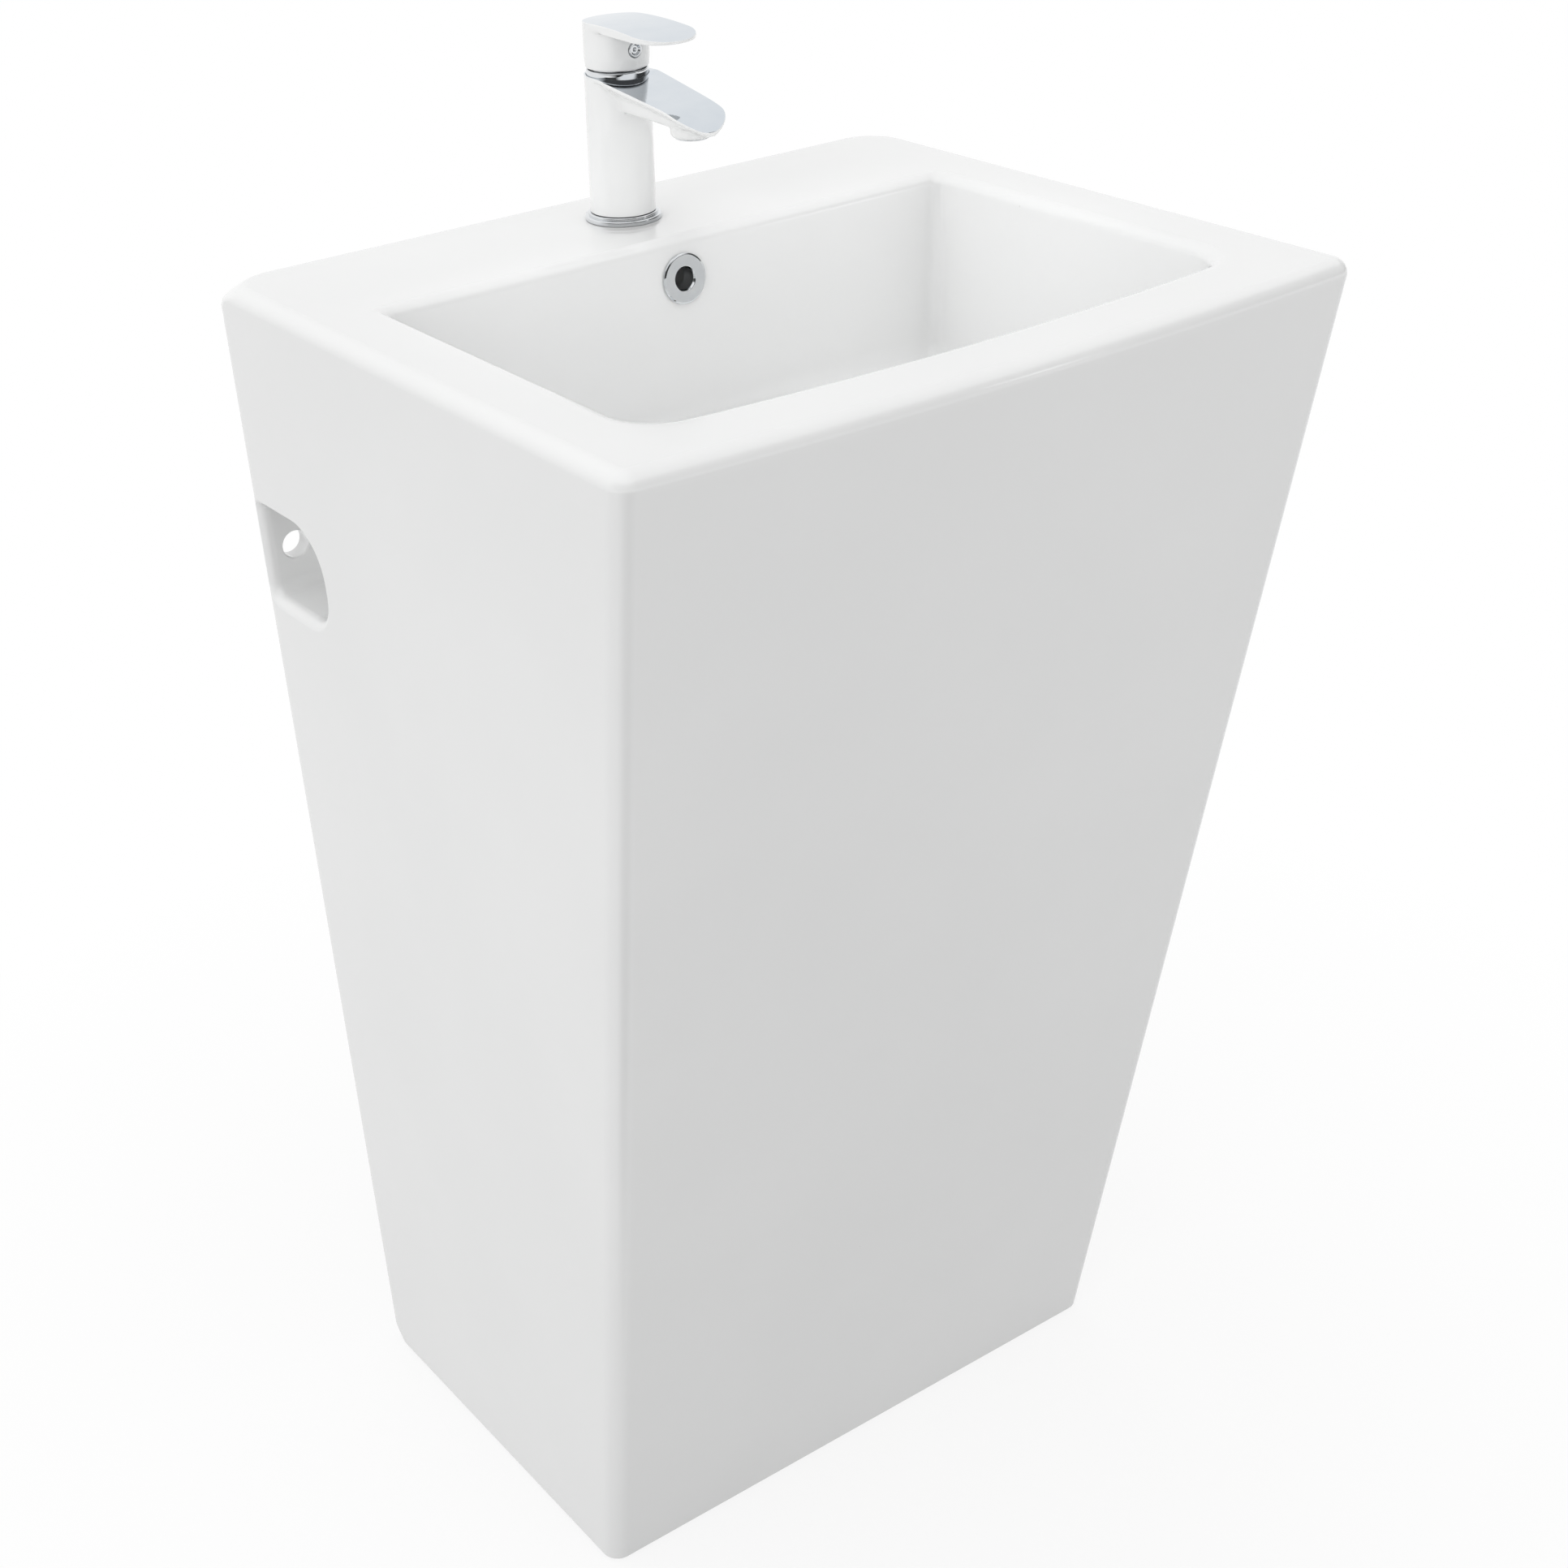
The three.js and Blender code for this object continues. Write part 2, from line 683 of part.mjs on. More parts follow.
function tapBody() {
  const post = turned([
    [0, spigotBottom],
    [spigotRadius, spigotBottom],
    [spigotRadius, baseRingHeight + seat],
    [tapRadius, baseRingHeight + seat],
    [tapRadius, collarTop],
    [0, collarTop],
  ]);
  const outside = cut(post.add(lofted(stations().map(spoutSection))), aboveSpout());
  const outlet = new THREE.Vector3(0, -outletReach, spoutChannelEnd);
  const channelStart = new THREE.Vector3(0, -cartridgeRadius, spoutChannelStart);
  const stud = disc(studRadius + seat, spigotBottom - 1, spigotBottom + portDepth, smallFacets);
  const hollows = [
    disc(cartridgeBoreRadius, cartridgeFloor, collarTop),
    disc(collarRadius + seat, collarBottom - seat, collarTop),
    disc(aeratorRadius, noseHeight - 1, aeratorTop).translate([0, -outletReach, 0]),
    bar(channelStart, outlet, spoutChannelRadius, smallFacets / 2),
    stud.translate([0, studSetback, 0]),
  ];
  for (const side of [-1, 1]) {
    const port = disc(hosePortRadius, spigotBottom - 1, spigotBottom + portDepth, smallFacets);
    const waterway = disc(waterwayRadius, spigotBottom, cartridgeFloor + 1, smallFacets);
    hollows.push(port.add(waterway).translate([side * inletOffset, inletSetback, 0]));
  }
  return cut(outside, ...hollows);
}

function tapBaseRing() {
  const bore = spigotRadius + seat;
  const outside = turned([
    [bore, seat],
    [baseRingRadius, seat],
    [baseRingRadius, baseRingStep - baseRingChamfer],
    [baseRingRadius - baseRingChamfer, baseRingStep],
    [baseRingShoulder + baseRingChamfer, baseRingStep],
    [baseRingShoulder, baseRingStep + baseRingChamfer],
    [baseRingShoulder, baseRingHeight - baseRingChamfer],
    [baseRingShoulder - baseRingChamfer, baseRingHeight],
    [bore, baseRingHeight],
  ]);
  const groove = ring(bore + 2 * seat, baseRingShoulder, seat, 2 * seat + baseSealHeight);
  return outside.subtract(groove);
}

function tapBaseSeal() {
  return ring(spigotRadius + 4 * seat, baseRingShoulder - seat, seat, seat + baseSealHeight);
}

// ---------------------------------------------------------------- tap fixing under the deck
const rubberTop = -deckThickness - seat;
const plateTop = rubberTop - rubberThickness - seat;
const studNutTop = plateTop - plateThickness - seat;

function horseshoe(top, thickness) {
  const shape = new THREE.Shape();
  const arm = Math.sqrt(horseshoeRadius ** 2 - horseshoeSlot ** 2);
  const start = Math.atan2(arm, horseshoeSlot);
  shape.absarc(0, 0, horseshoeRadius, Math.PI - start, 2 * Math.PI + start);
  shape.lineTo(horseshoeSlot, horseshoeSlotStart);
  shape.lineTo(-horseshoeSlot, horseshoeSlotStart);
  const eye = new THREE.Path();
  eye.absarc(0, studSetback, studRadius + seat, 0, 2 * Math.PI, true);
  shape.holes.push(eye);
  return raised(shape, top - thickness, top, smallFacets);
}

function studNut() {
  const nut = raised(hexagon(studNutFlats), studNutTop - studNutHeight, studNutTop);
  const bore = disc(studRadius + seat, studNutTop - studNutHeight - 1, studNutTop + 1, smallFacets);
  return nut.subtract(bore).translate([0, studSetback, 0]);
}

function fixingStud() {
  const top = spigotBottom + portDepth - seat;
  return disc(studRadius, -studBelowDeck, top, smallFacets).translate([0, studSetback, 0]);
}

// ---------------------------------------------------------------- cartridge
// Heights above the deck, from the floor of the body's bore upwards.
const baseBottom = cartridgeFloor + washer;
const baseTop = baseBottom + baseThickness;
const fixedDiscBottom = baseTop + seat;
const movingDiscBottom = fixedDiscBottom + discThickness + seat;
const carrierBottom = movingDiscBottom + discThickness + seat;
const carrierTop = carrierBottom + carrierHeight;
const rotorBottom = carrierTop + seat;
const rotorShoulder = cartridgeShoulder - cartridgeShell;
const rotorRadius = cartridgeRadius - cartridgeShell - seat;
const rotorNeckRadius = cartridgeNeckRadius - cartridgeNeckWall - seat;

function eachInlet(make) {
  const left = make().translate([-inletOffset, inletSetback, 0]);
  return left.add(make().translate([inletOffset, inletSetback, 0]));
}

// One moulded seal: a ring round each inlet and the web between them.
function cartridgeSeals() {
  const [bottom, top] = [cartridgeFloor + seat, baseBottom - seat];
  const web = block(-inletOffset, inletOffset, inletSetback, inletSetback + sealRadius, bottom, top);
  const rims = eachInlet(() => disc(sealRadius, bottom, top, smallFacets));
  const holes = eachInlet(() => disc(waterwayRadius + seat, bottom - 1, top + 1, smallFacets));
  return rims.add(web).subtract(holes);
}

function cartridgeBase() {
  const [low, high] = [baseBottom - 1, baseTop + 1];
  const inlets = eachInlet(() => disc(waterwayRadius, low, high, smallFacets));
  const outlet = block(-waterwayRadius, waterwayRadius, -2 * cartridgeRadius, -inletOffset, low, high);
  return cut(disc(cartridgeRadius, baseBottom, baseTop), inlets, outlet);
}

function fixedCeramicDisc() {
  const top = fixedDiscBottom + discThickness;
  const inlets = eachInlet(() => disc(waterwayRadius - seat, fixedDiscBottom - 1, top + 1, smallFacets));
  const outlet = disc(waterwayRadius, fixedDiscBottom - 1, top + 1, smallFacets);
  const plate = disc(fixedDiscRadius, fixedDiscBottom, top);
  return cut(plate, inlets, outlet.translate([0, -inletOffset - 1, 0]));
}

function movingCeramicDisc() {
  const bottom = movingDiscBottom;
  const pocket = disc(discPocketRadius, bottom - 1, bottom + discPocketDepth, smallFacets);
  const plate = disc(movingDiscRadius, bottom, bottom + discThickness);
  return plate.subtract(pocket.translate([0, -discPocketDepth, 0])).translate([0, discRest, 0]);
}

function discCarrier() {
  const plate = disc(carrierRadius, carrierBottom, carrierTop).translate([0, discRest, 0]);
  return plate.subtract(disc(socketRadius, carrierBottom + 2 * seat, carrierTop + 1, smallFacets));
}

function cartridgeBody() {
  const inner = cartridgeRadius - cartridgeShell;
  const neck = cartridgeNeckRadius - cartridgeNeckWall;
  return turned([
    [inner, fixedDiscBottom],
    [cartridgeRadius, fixedDiscBottom],
    [cartridgeRadius, cartridgeShoulder],
    [cartridgeNeckRadius, cartridgeShoulder],
    [cartridgeNeckRadius, cartridgeTop],
    [neck, cartridgeTop],
    [neck, rotorShoulder + seat],
    [inner, rotorShoulder + seat],
  ]);
}

function cartridgeRotor() {
  const outside = turned([
    [0, rotorBottom],
    [rotorRadius, rotorBottom],
    [rotorRadius, rotorShoulder],
    [rotorNeckRadius, rotorShoulder],
    [rotorNeckRadius, rotorTop],
    [0, rotorTop],
  ]);
  const half = stemWidth / 2 + seat;
  const slot = block(-half, half, -slotFront, slotBack, rotorBottom - 1, rotorTop + 1);
  return cut(outside, slot, pivotBar(rotorRadius + 1, pinRadius + seat));
}

function pivotBar(halfLength, radius) {
  const end = new THREE.Vector3(halfLength, 0, pivotHeight);
  return bar(end.clone().setX(-halfLength), end, radius, smallFacets / 2);
}

function cartridgeStem() {
  const half = stemWidth / 2;
  const ballHeight = pivotHeight - stemArm;
  const ball = solidOf(new THREE.SphereGeometry(stemBallRadius, smallFacets, smallFacets / 2));
  const neck = disc(stemNeckRadius, ballHeight, stemNeckTop + 1, smallFacets);
  const shank = block(-half, half, -half, half, stemNeckTop, stemTop);
  const outside = join(shank, neck, ball.translate([0, 0, ballHeight]));
  return outside.subtract(pivotBar(stemWidth, pinRadius + seat));
}

function cartridgeNut() {
  const inner = cartridgeNeckRadius + seat;
  return ring(inner, cartridgeBoreRadius - seat, cartridgeShoulder + seat, cartridgeTop + seat);
}

function collarRing() {
  const bottom = cartridgeTop + 2 * seat;
  return turned([
    [collarBoreRadius, bottom],
    [collarNeckRadius, bottom],
    [collarNeckRadius, collarBottom],
    [collarRadius - collarChamfer, collarBottom],
    [collarRadius, collarBottom + collarChamfer],
    [collarRadius, collarTop - collarChamfer],
    [collarRadius - collarChamfer, collarTop],
    [collarBoreRadius, collarTop],
  ]);
}

// ---------------------------------------------------------------- lever
function leverTopAt(forward) {
  return leverTop - leverTipDrop * ((forward - leverCrown) / (leverReach - leverCrown)) ** 2;
}

// Everything under the lever's crowned top and above a straight line from root to tip.
function leverProfile(rootBottom, tipBottom) {
  const shape = new THREE.Shape();
  const back = leverRadius + 1;
  const front = leverReach + 1;
  shape.moveTo(back, rootBottom);
  for (let step = 0; step <= spoutStations; step += 1) {
    const forward = lerp(-back, front, step / spoutStations);
    shape.lineTo(-forward, leverTopAt(forward));
  }
  shape.lineTo(-front, tipBottom);
  shape.lineTo(-leverRadius, rootBottom);
  return across(shape, -2 * leverRadius, 2 * leverRadius);
}

function leverHandle() {
  const plan = new THREE.Shape();
  plan.absarc(0, leverHalfWidth - leverReach, leverHalfWidth, Math.PI, 2 * Math.PI);
  plan.absarc(0, 0, leverRadius, 0, Math.PI);
  const blade = leverProfile(leverTop - leverRootThickness, leverTop - leverTipDrop - leverTipThickness);
  const cap = turned([
    [0, leverBottom],
    [leverFootRadius, leverBottom],
    [leverRadius, leverBottom + leverFootHeight],
    [leverRadius, leverTop],
    [0, leverTop],
  ]).intersect(leverProfile(leverBottom - 1, leverBottom - 1));
  const half = stemWidth / 2 + seat;
  const plugSeat = indexPlugRadius + seat;
  return cut(
    cap.add(raised(plan, leverBottom, 2 * leverTop).intersect(blade)),
    disc(leverCavityRadius, leverBottom - 1, leverCavityTop),
    block(-half, half, -half, half, leverCavityTop - 1, stemTop + seat),
    frontBar(leverRadius + 1, leverRadius - indexPlugDepth - seat, plugSeat),
    frontBar(leverRadius, half - 1, grubRadius + seat),
  );
}

// Round bar along the index plug's axis, between two distances in front of the tap axis.
function frontBar(far, near, radius) {
  const start = new THREE.Vector3(0, -far, indexPlugHeight);
  return bar(start, start.clone().setY(-near), radius);
}

function grubScrew() {
  const near = stemWidth / 2 + seat;
  return frontBar(near + grubLength, near, grubRadius);
}

function indexPlug() {
  return frontBar(leverRadius + seat, leverRadius - indexPlugDepth, indexPlugRadius);
}

// ---------------------------------------------------------------- aerator
function aeratorHousing() {
  const inner = aeratorRadius - seat - aeratorWall;
  const top = aeratorTop - aeratorSealHeight - 2 * seat;
  return ring(inner, aeratorRadius - seat, noseHeight - aeratorProud, top);
}

function aeratorInsert() {
  const radius = aeratorRadius - aeratorWall - 2 * seat;
  const bottom = noseHeight - aeratorProud + seat;
  const top = aeratorTop - aeratorSealHeight - 2 * seat;
  const jets = [];
  for (let spoke = 0; spoke < 6; spoke += 1) {
    const angle = (spoke * Math.PI) / 3;
    const reach = radius - 2 * jetRadius;
    const jet = disc(jetRadius, bottom - 1, top + 1, 6);
    jets.push(jet.translate([reach * Math.cos(angle), reach * Math.sin(angle), 0]));
  }
  return cut(disc(radius, bottom, top), disc(jetRadius, bottom - 1, top + 1, 6), ...jets);
}

function aeratorSeal() {
  const top = aeratorTop - seat;
  return ring(aeratorRadius - aeratorWall - seat, aeratorRadius - seat, top - aeratorSealHeight, top);
}

// ---------------------------------------------------------------- sprung waste
const plugUnderside = flangeLip + 2 * seat + trapSealThickness + plugTravel;

function drainFlange() {
  const sleeve = wasteRadius - wasteWall - seat;
  const rest = -drainSeatDepth + washer + seat;
  return turned([
    [flangeThroatRadius, -flangeSleeve],
    [sleeve, -flangeSleeve],
    [sleeve, rest],
    [flangeLipRadius, rest],
    [flangeLipRadius, flangeLip / 2],
    [flangeLipRadius - flangeLip / 2, flangeLip],
    [plugSealRadius - plugSealWidth - seat, flangeLip],
    [flangeThroatRadius, -flangeThroatDrop],
  ]);
}

function drainFlangeSeal() {
  const bottom = -drainSeatDepth + seat;
  return ring(drainHoleRadius + seat, wasteSealRadius, bottom, bottom + washer - seat);
}

function wasteBody() {
  const bore = wasteRadius - wasteWall;
  const top = -drainSeatDepth + washer;
  const hub = disc(plugBossRadius, -guideDrop - guideHeight, -guideDrop, smallFacets);
  const half = guideBarWidth / 2;
  const guide = block(-half, half, -bore - 1, bore + 1, -guideDrop - guideHeight, -guideDrop);
  const tube = join(ring(bore, wasteRadius, -wasteLength, top), guide, hub);
  const slots = [];
  for (const side of [-1, 1]) {
    const window = block(-wasteWall * 2, wasteWall * 2, -slotWidth / 2, slotWidth / 2, -ductGap, 0);
    slots.push(window.translate([side * wasteRadius, 0, -floorThickness]));
  }
  const eye = disc(spindleRadius + seat, -guideDrop - guideHeight - 1, -guideDrop + 1, smallFacets);
  return cut(tube, ...slots, eye);
}

function drainPlug() {
  const bossBase = plugUnderside - plugBossHeight;
  const outside = turned([
    [0, bossBase],
    [plugBossRadius, bossBase],
    [plugBossRadius, plugUnderside],
    [plugCapRadius - 1, plugUnderside],
    [plugCapRadius, plugUnderside + 1],
    [plugCapRadius, plugUnderside + plugCapHeight / 3],
    [(plugCapRadius * 2) / 3, plugUnderside + plugCapHeight * 0.85],
    [0, plugUnderside + plugCapHeight],
  ]);
  return outside.subtract(disc(spindleRadius + seat, bossBase - 1, plugUnderside - 1, smallFacets));
}

function plugSeal() {
  const bottom = plugUnderside - seat - trapSealThickness;
  return ring(plugSealRadius - plugSealWidth, plugSealRadius, bottom, plugUnderside - seat);
}

function plugSpindle() {
  const headTop = -guideDrop - guideHeight - seat;
  const head = disc(spindleHeadRadius, headTop - spindleHeadHeight, headTop, smallFacets);
  return head.add(disc(spindleRadius, headTop - 1, plugUnderside - 1 - seat, smallFacets));
}

function plugSpring() {
  const bottom = -guideDrop + seat + springWireRadius;
  const top = plugUnderside - plugBossHeight - seat - springWireRadius;
  const points = [];
  const steps = springTurns * turnFacets;
  for (let step = 0; step <= steps; step += 1) {
    const angle = (step / turnFacets) * 2 * Math.PI;
    const height = lerp(bottom, top, step / steps);
    points.push(new THREE.Vector3(springRadius * Math.cos(angle), springRadius * Math.sin(angle), height));
  }
  const wire = new THREE.Shape();
  wire.absarc(0, 0, springWireRadius, 0, 2 * Math.PI);
  const extrudePath = new THREE.CatmullRomCurve3(points);
  return solidOf(new THREE.ExtrudeGeometry(wire, { steps, curveSegments: 3, extrudePath }));
}

const wasteSealTop = bossBottom - seat;
const wasteWasherTop = wasteSealTop - wasteSealHeight - seat;
const wasteNutTop = wasteWasherTop - washer - seat;
const wasteThreadRadius = wasteRadius + seat;

// Seal or washer round the waste body, under the basin.
function wasteRing(top, thickness) {
  return ring(wasteThreadRadius, wasteSealRadius, top - thickness, top);
}

function wasteBackNut() {
  const nut = raised(hexagon(wasteNutFlats), wasteNutTop - wasteNutHeight, wasteNutTop);
  return nut.subtract(disc(wasteThreadRadius, wasteNutTop - wasteNutHeight - 1, wasteNutTop + 1));
}

// ---------------------------------------------------------------- bottle trap
const tubeTop = -wasteLength - washer - seat;
const pipeBore = pipeRadius - pipeWall;
const pipeHole = pipeRadius + seat;
const socketRadiusOut = pipeHole + socketWall;
const trapHeadBottom = trapHeadTop - trapHeadHeight;
const trapCupBottom = trapHeadBottom - trapCupDepth;
const trapOutletHeight = trapHeadTop - trapOutletDrop;
const trapOutletEnd = trapHeadRadius + socketLength + slipNutSkirt;
const wallDistance = wallPlane - drainPlace.y;

function trapInletTube() {
  return turned([
    [pipeBore, trapHeadBottom - dipDepth],
    [pipeRadius, trapHeadBottom - dipDepth],
    [pipeRadius, tubeTop - washer],
    [wasteRadius - seat, tubeTop - washer],
    [wasteRadius - seat, tubeTop],
    [pipeBore, tubeTop],
  ]);
}

function trapInletNut() {
  const rest = tubeTop - washer - seat;
  return turned([
    [pipeHole, rest - nutShoulder],
    [inletNutRadius, rest - nutShoulder],
    [inletNutRadius, -wasteLength + inletNutAbove],
    [wasteThreadRadius, -wasteLength + inletNutAbove],
    [wasteThreadRadius, rest],
    [pipeHole, rest],
  ]);
}

// Round bar on the trap's outlet axis, between two distances from the trap's centre.
function outletBar(near, far, radius) {
  const start = new THREE.Vector3(0, near, trapOutletHeight);
  return bar(start, start.clone().setY(far), radius, roundFacets);
}

function trapHead() {
  const inner = trapHeadRadius - trapWall;
  const shell = turned([
    [inner, trapHeadBottom],
    [trapHeadRadius, trapHeadBottom],
    [trapHeadRadius, trapHeadTop],
    [socketRadiusOut, trapHeadTop],
    [socketRadiusOut, trapHeadTop + socketLength],
    [pipeHole, trapHeadTop + socketLength],
    [pipeHole, trapHeadTop - trapWall],
    [inner, trapHeadTop - trapWall],
  ]);
  const stub = outletBar(inner, trapOutletEnd, socketRadiusOut);
  const passage = outletBar(inner - trapWall, trapOutletEnd + 1, pipeHole);
  return shell.add(stub.subtract(disc(inner, trapHeadBottom, trapHeadTop))).subtract(passage);
}

function trapCup() {
  const inner = trapHeadRadius - trapWall;
  const collar = trapHeadRadius + seat;
  const rest = trapHeadBottom - 2 * seat - trapSealThickness;
  const floorRadius = trapHeadRadius - trapCupCorner;
  return turned([
    [0, trapCupBottom],
    [floorRadius, trapCupBottom],
    [trapHeadRadius, trapCupBottom + trapCupCorner],
    [trapHeadRadius, rest - trapThreadHeight],
    [collar + trapCollarWall, rest - trapThreadHeight + trapCollarWall],
    [collar + trapCollarWall, trapHeadBottom + trapThreadHeight],
    [collar, trapHeadBottom + trapThreadHeight],
    [collar, rest],
    [inner, rest],
    [inner, trapCupBottom + trapCupCorner],
    [floorRadius, trapCupBottom + trapWall],
    [0, trapCupBottom + trapWall],
  ]);
}

function trapCupSeal() {
  const top = trapHeadBottom - seat;
  return ring(trapHeadRadius - trapWall + seat, trapHeadRadius - seat, top - trapSealThickness, top);
}

// Slip joint on a socket whose mouth is at height 0 and faces up.
function slipSeal() {
  return ring(pipeHole, pipeHole + slipSealWidth, seat, seat + slipSealHeight);
}

function slipNut() {
  const rest = 2 * seat + slipSealHeight;
  const thread = socketRadiusOut + seat;
  return turned([
    [thread, -slipNutSkirt],
    [slipNutRadius, -slipNutSkirt],
    [slipNutRadius, rest + nutShoulder],
    [pipeHole, rest + nutShoulder],
    [pipeHole, rest],
    [thread, rest],
  ]);
}

function trapOutletTube() {
  const start = trapHeadRadius + seat;
  return ring(pipeBore, pipeRadius, start, wallDistance);
}

function wallRosette() {
  return turned([
    [pipeHole, wallDistance - rosetteDepth],
    [pipeHole + trapWall, wallDistance - rosetteDepth],
    [rosetteRadius, wallDistance - trapWall],
    [rosetteRadius, wallDistance],
    [rosetteRadius - trapWall, wallDistance],
    [pipeHole + trapWall, wallDistance - rosetteDepth + trapWall],
    [pipeHole, wallDistance - rosetteDepth + trapWall],
  ]);
}

// ---------------------------------------------------------------- assembly
const sink = new THREE.Group();
const tap = new THREE.Group();
tap.position.copy(tapPlace);
const waste = new THREE.Group();
waste.position.copy(drainPlace);
const outlet = new THREE.Group();
outlet.rotation.x = -Math.PI / 2;
outlet.position.z = trapOutletHeight;
waste.add(outlet);
sink.add(tap, waste);

function finish(color, roughness, metalness = 0) {
  return () => new THREE.MeshStandardMaterial({ color, roughness, metalness });
}

const glaze = finish(0xf4f5f4, 0.08);
const lacquer = finish(0xf2f4f4, 0.12);
const chrome = finish(0xd5d9dc, 0.08, 1);
const brass = finish(0xb8923f, 0.35, 1);
const steel = finish(0xa9adb0, 0.35, 1);
const rubber = finish(0x1d1d1e, 0.7);
const greyPlastic = finish(0xb9bdc0, 0.45);
const whitePlastic = finish(0xeeeeec, 0.35);
const alumina = finish(0xe9e4d8, 0.25);

function place(name, solid, makeMaterial, parent) {
  const mesh = new THREE.Mesh(geometryOf(solid), makeMaterial());
  mesh.name = name;
  parent.add(mesh);
  return mesh;
}

place('basin_pedestal', basinPedestal(), glaze, sink);
const overflow = place('overflow_ring', overflowRing(), chrome, sink);
overflow.position.copy(overflowPlace());
overflow.rotation.x = THREE.MathUtils.degToRad(overflowTilt);

place('tap_base_seal', tapBaseSeal(), rubber, tap);
place('tap_base_ring', tapBaseRing(), chrome, tap);
place('tap_body', tapBody(), lacquer, tap);
place('fixing_stud', fixingStud(), steel, tap);
place('horseshoe_rubber_washer', horseshoe(rubberTop, rubberThickness), rubber, tap);
place('horseshoe_metal_washer', horseshoe(plateTop, plateThickness), steel, tap);
place('fixing_nut', studNut(), brass, tap);
place('cartridge_seals', cartridgeSeals(), rubber, tap);
place('cartridge_base', cartridgeBase(), greyPlastic, tap);
place('fixed_ceramic_disc', fixedCeramicDisc(), alumina, tap);
place('moving_ceramic_disc', movingCeramicDisc(), alumina, tap);
place('disc_carrier', discCarrier(), greyPlastic, tap);
place('cartridge_body', cartridgeBody(), greyPlastic, tap);
place('cartridge_rotor', cartridgeRotor(), whitePlastic, tap);
place('stem_pivot_pin', pivotBar(rotorRadius - seat, pinRadius), steel, tap);
place('cartridge_stem', cartridgeStem(), steel, tap);
place('cartridge_nut', cartridgeNut(), brass, tap);
place('collar_ring', collarRing(), chrome, tap);
place('lever_handle', leverHandle(), lacquer, tap);
place('handle_grub_screw', grubScrew(), steel, tap);
place('index_plug', indexPlug(), chrome, tap);
place('aerator_housing', aeratorHousing().translate([0, -outletReach, 0]), chrome, tap);
place('aerator_insert', aeratorInsert().translate([0, -outletReach, 0]), greyPlastic, tap);
place('aerator_seal', aeratorSeal().translate([0, -outletReach, 0]), rubber, tap);

place('drain_flange', drainFlange(), chrome, waste);
place('drain_flange_seal', drainFlangeSeal(), rubber, waste);
place('drain_plug', drainPlug(), chrome, waste);
place('plug_seal', plugSeal(), rubber, waste);
place('plug_spindle', plugSpindle(), brass, waste);
place('plug_spring', plugSpring(), steel, waste);
place('waste_body', wasteBody(), brass, waste);
place('waste_lower_seal', wasteRing(wasteSealTop, wasteSealHeight), rubber, waste);
place('waste_washer', wasteRing(wasteWasherTop, washer), greyPlastic, waste);
place('waste_back_nut', wasteBackNut(), brass, waste);

const inletSeal = ring(pipeHole, wasteRadius - seat, tubeTop + seat, -wasteLength - seat);
place('trap_inlet_seal', inletSeal, rubber, waste);
place('trap_inlet_tube', trapInletTube(), whitePlastic, waste);
place('trap_inlet_nut', trapInletNut(), whitePlastic, waste);
place('trap_head', trapHead(), whitePlastic, waste);
place('trap_socket_seal', slipSeal().translate([0, 0, trapHeadTop + socketLength]), rubber, waste);
place('trap_socket_nut', slipNut().translate([0, 0, trapHeadTop + socketLength]), whitePlastic, waste);
place('trap_cup_seal', trapCupSeal(), rubber, waste);
place('trap_cup', trapCup(), whitePlastic, waste);
place('trap_outlet_seal', slipSeal().translate([0, 0, trapOutletEnd]), rubber, outlet);
place('trap_outlet_nut', slipNut().translate([0, 0, trapOutletEnd]), whitePlastic, outlet);
place('trap_outlet_tube', trapOutletTube(), whitePlastic, outlet);
place('wall_rosette', wallRosette(), whitePlastic, outlet);

export default sink;
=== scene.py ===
# Looks of a freestanding ceramic washbasin with its tap, waste and trap.
# Shapes are built in millimetres and scaled to metres when their mesh is made.
import json
import math

import bmesh
import bpy
from mathutils import Matrix, Vector


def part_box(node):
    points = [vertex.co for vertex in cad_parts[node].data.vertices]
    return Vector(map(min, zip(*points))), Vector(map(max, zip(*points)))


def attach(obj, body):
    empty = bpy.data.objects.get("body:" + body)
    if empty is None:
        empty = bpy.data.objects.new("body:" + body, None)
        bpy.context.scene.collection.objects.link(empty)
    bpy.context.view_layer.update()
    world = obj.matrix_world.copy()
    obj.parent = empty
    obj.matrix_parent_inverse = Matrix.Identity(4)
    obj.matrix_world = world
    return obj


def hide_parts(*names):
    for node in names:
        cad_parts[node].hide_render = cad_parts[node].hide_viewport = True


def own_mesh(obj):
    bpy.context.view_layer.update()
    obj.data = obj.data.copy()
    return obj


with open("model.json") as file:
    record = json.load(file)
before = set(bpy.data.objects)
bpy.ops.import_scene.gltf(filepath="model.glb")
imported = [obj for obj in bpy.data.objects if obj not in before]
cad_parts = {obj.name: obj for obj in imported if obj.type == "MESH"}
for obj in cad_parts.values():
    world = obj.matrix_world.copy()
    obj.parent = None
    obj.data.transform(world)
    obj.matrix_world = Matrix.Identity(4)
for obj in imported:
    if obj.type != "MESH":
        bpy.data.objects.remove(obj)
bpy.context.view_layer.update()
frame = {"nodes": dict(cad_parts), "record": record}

MM = 0.001
ROUND = 96  # facets of a turned piece
CORNER = 14  # facets of a plan corner
FILLET = 6  # facets of a rounded edge


def node_box(name):
    """Lowest and highest corner of a CAD node, in millimetres."""
    low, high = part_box(name)
    return low / MM, high / MM


def node_axis(name):
    """Middle of a CAD node in plan, and its lowest height, in millimetres."""
    low, high = node_box(name)
    return Vector(((low.x + high.x) / 2, (low.y + high.y) / 2, low.z))


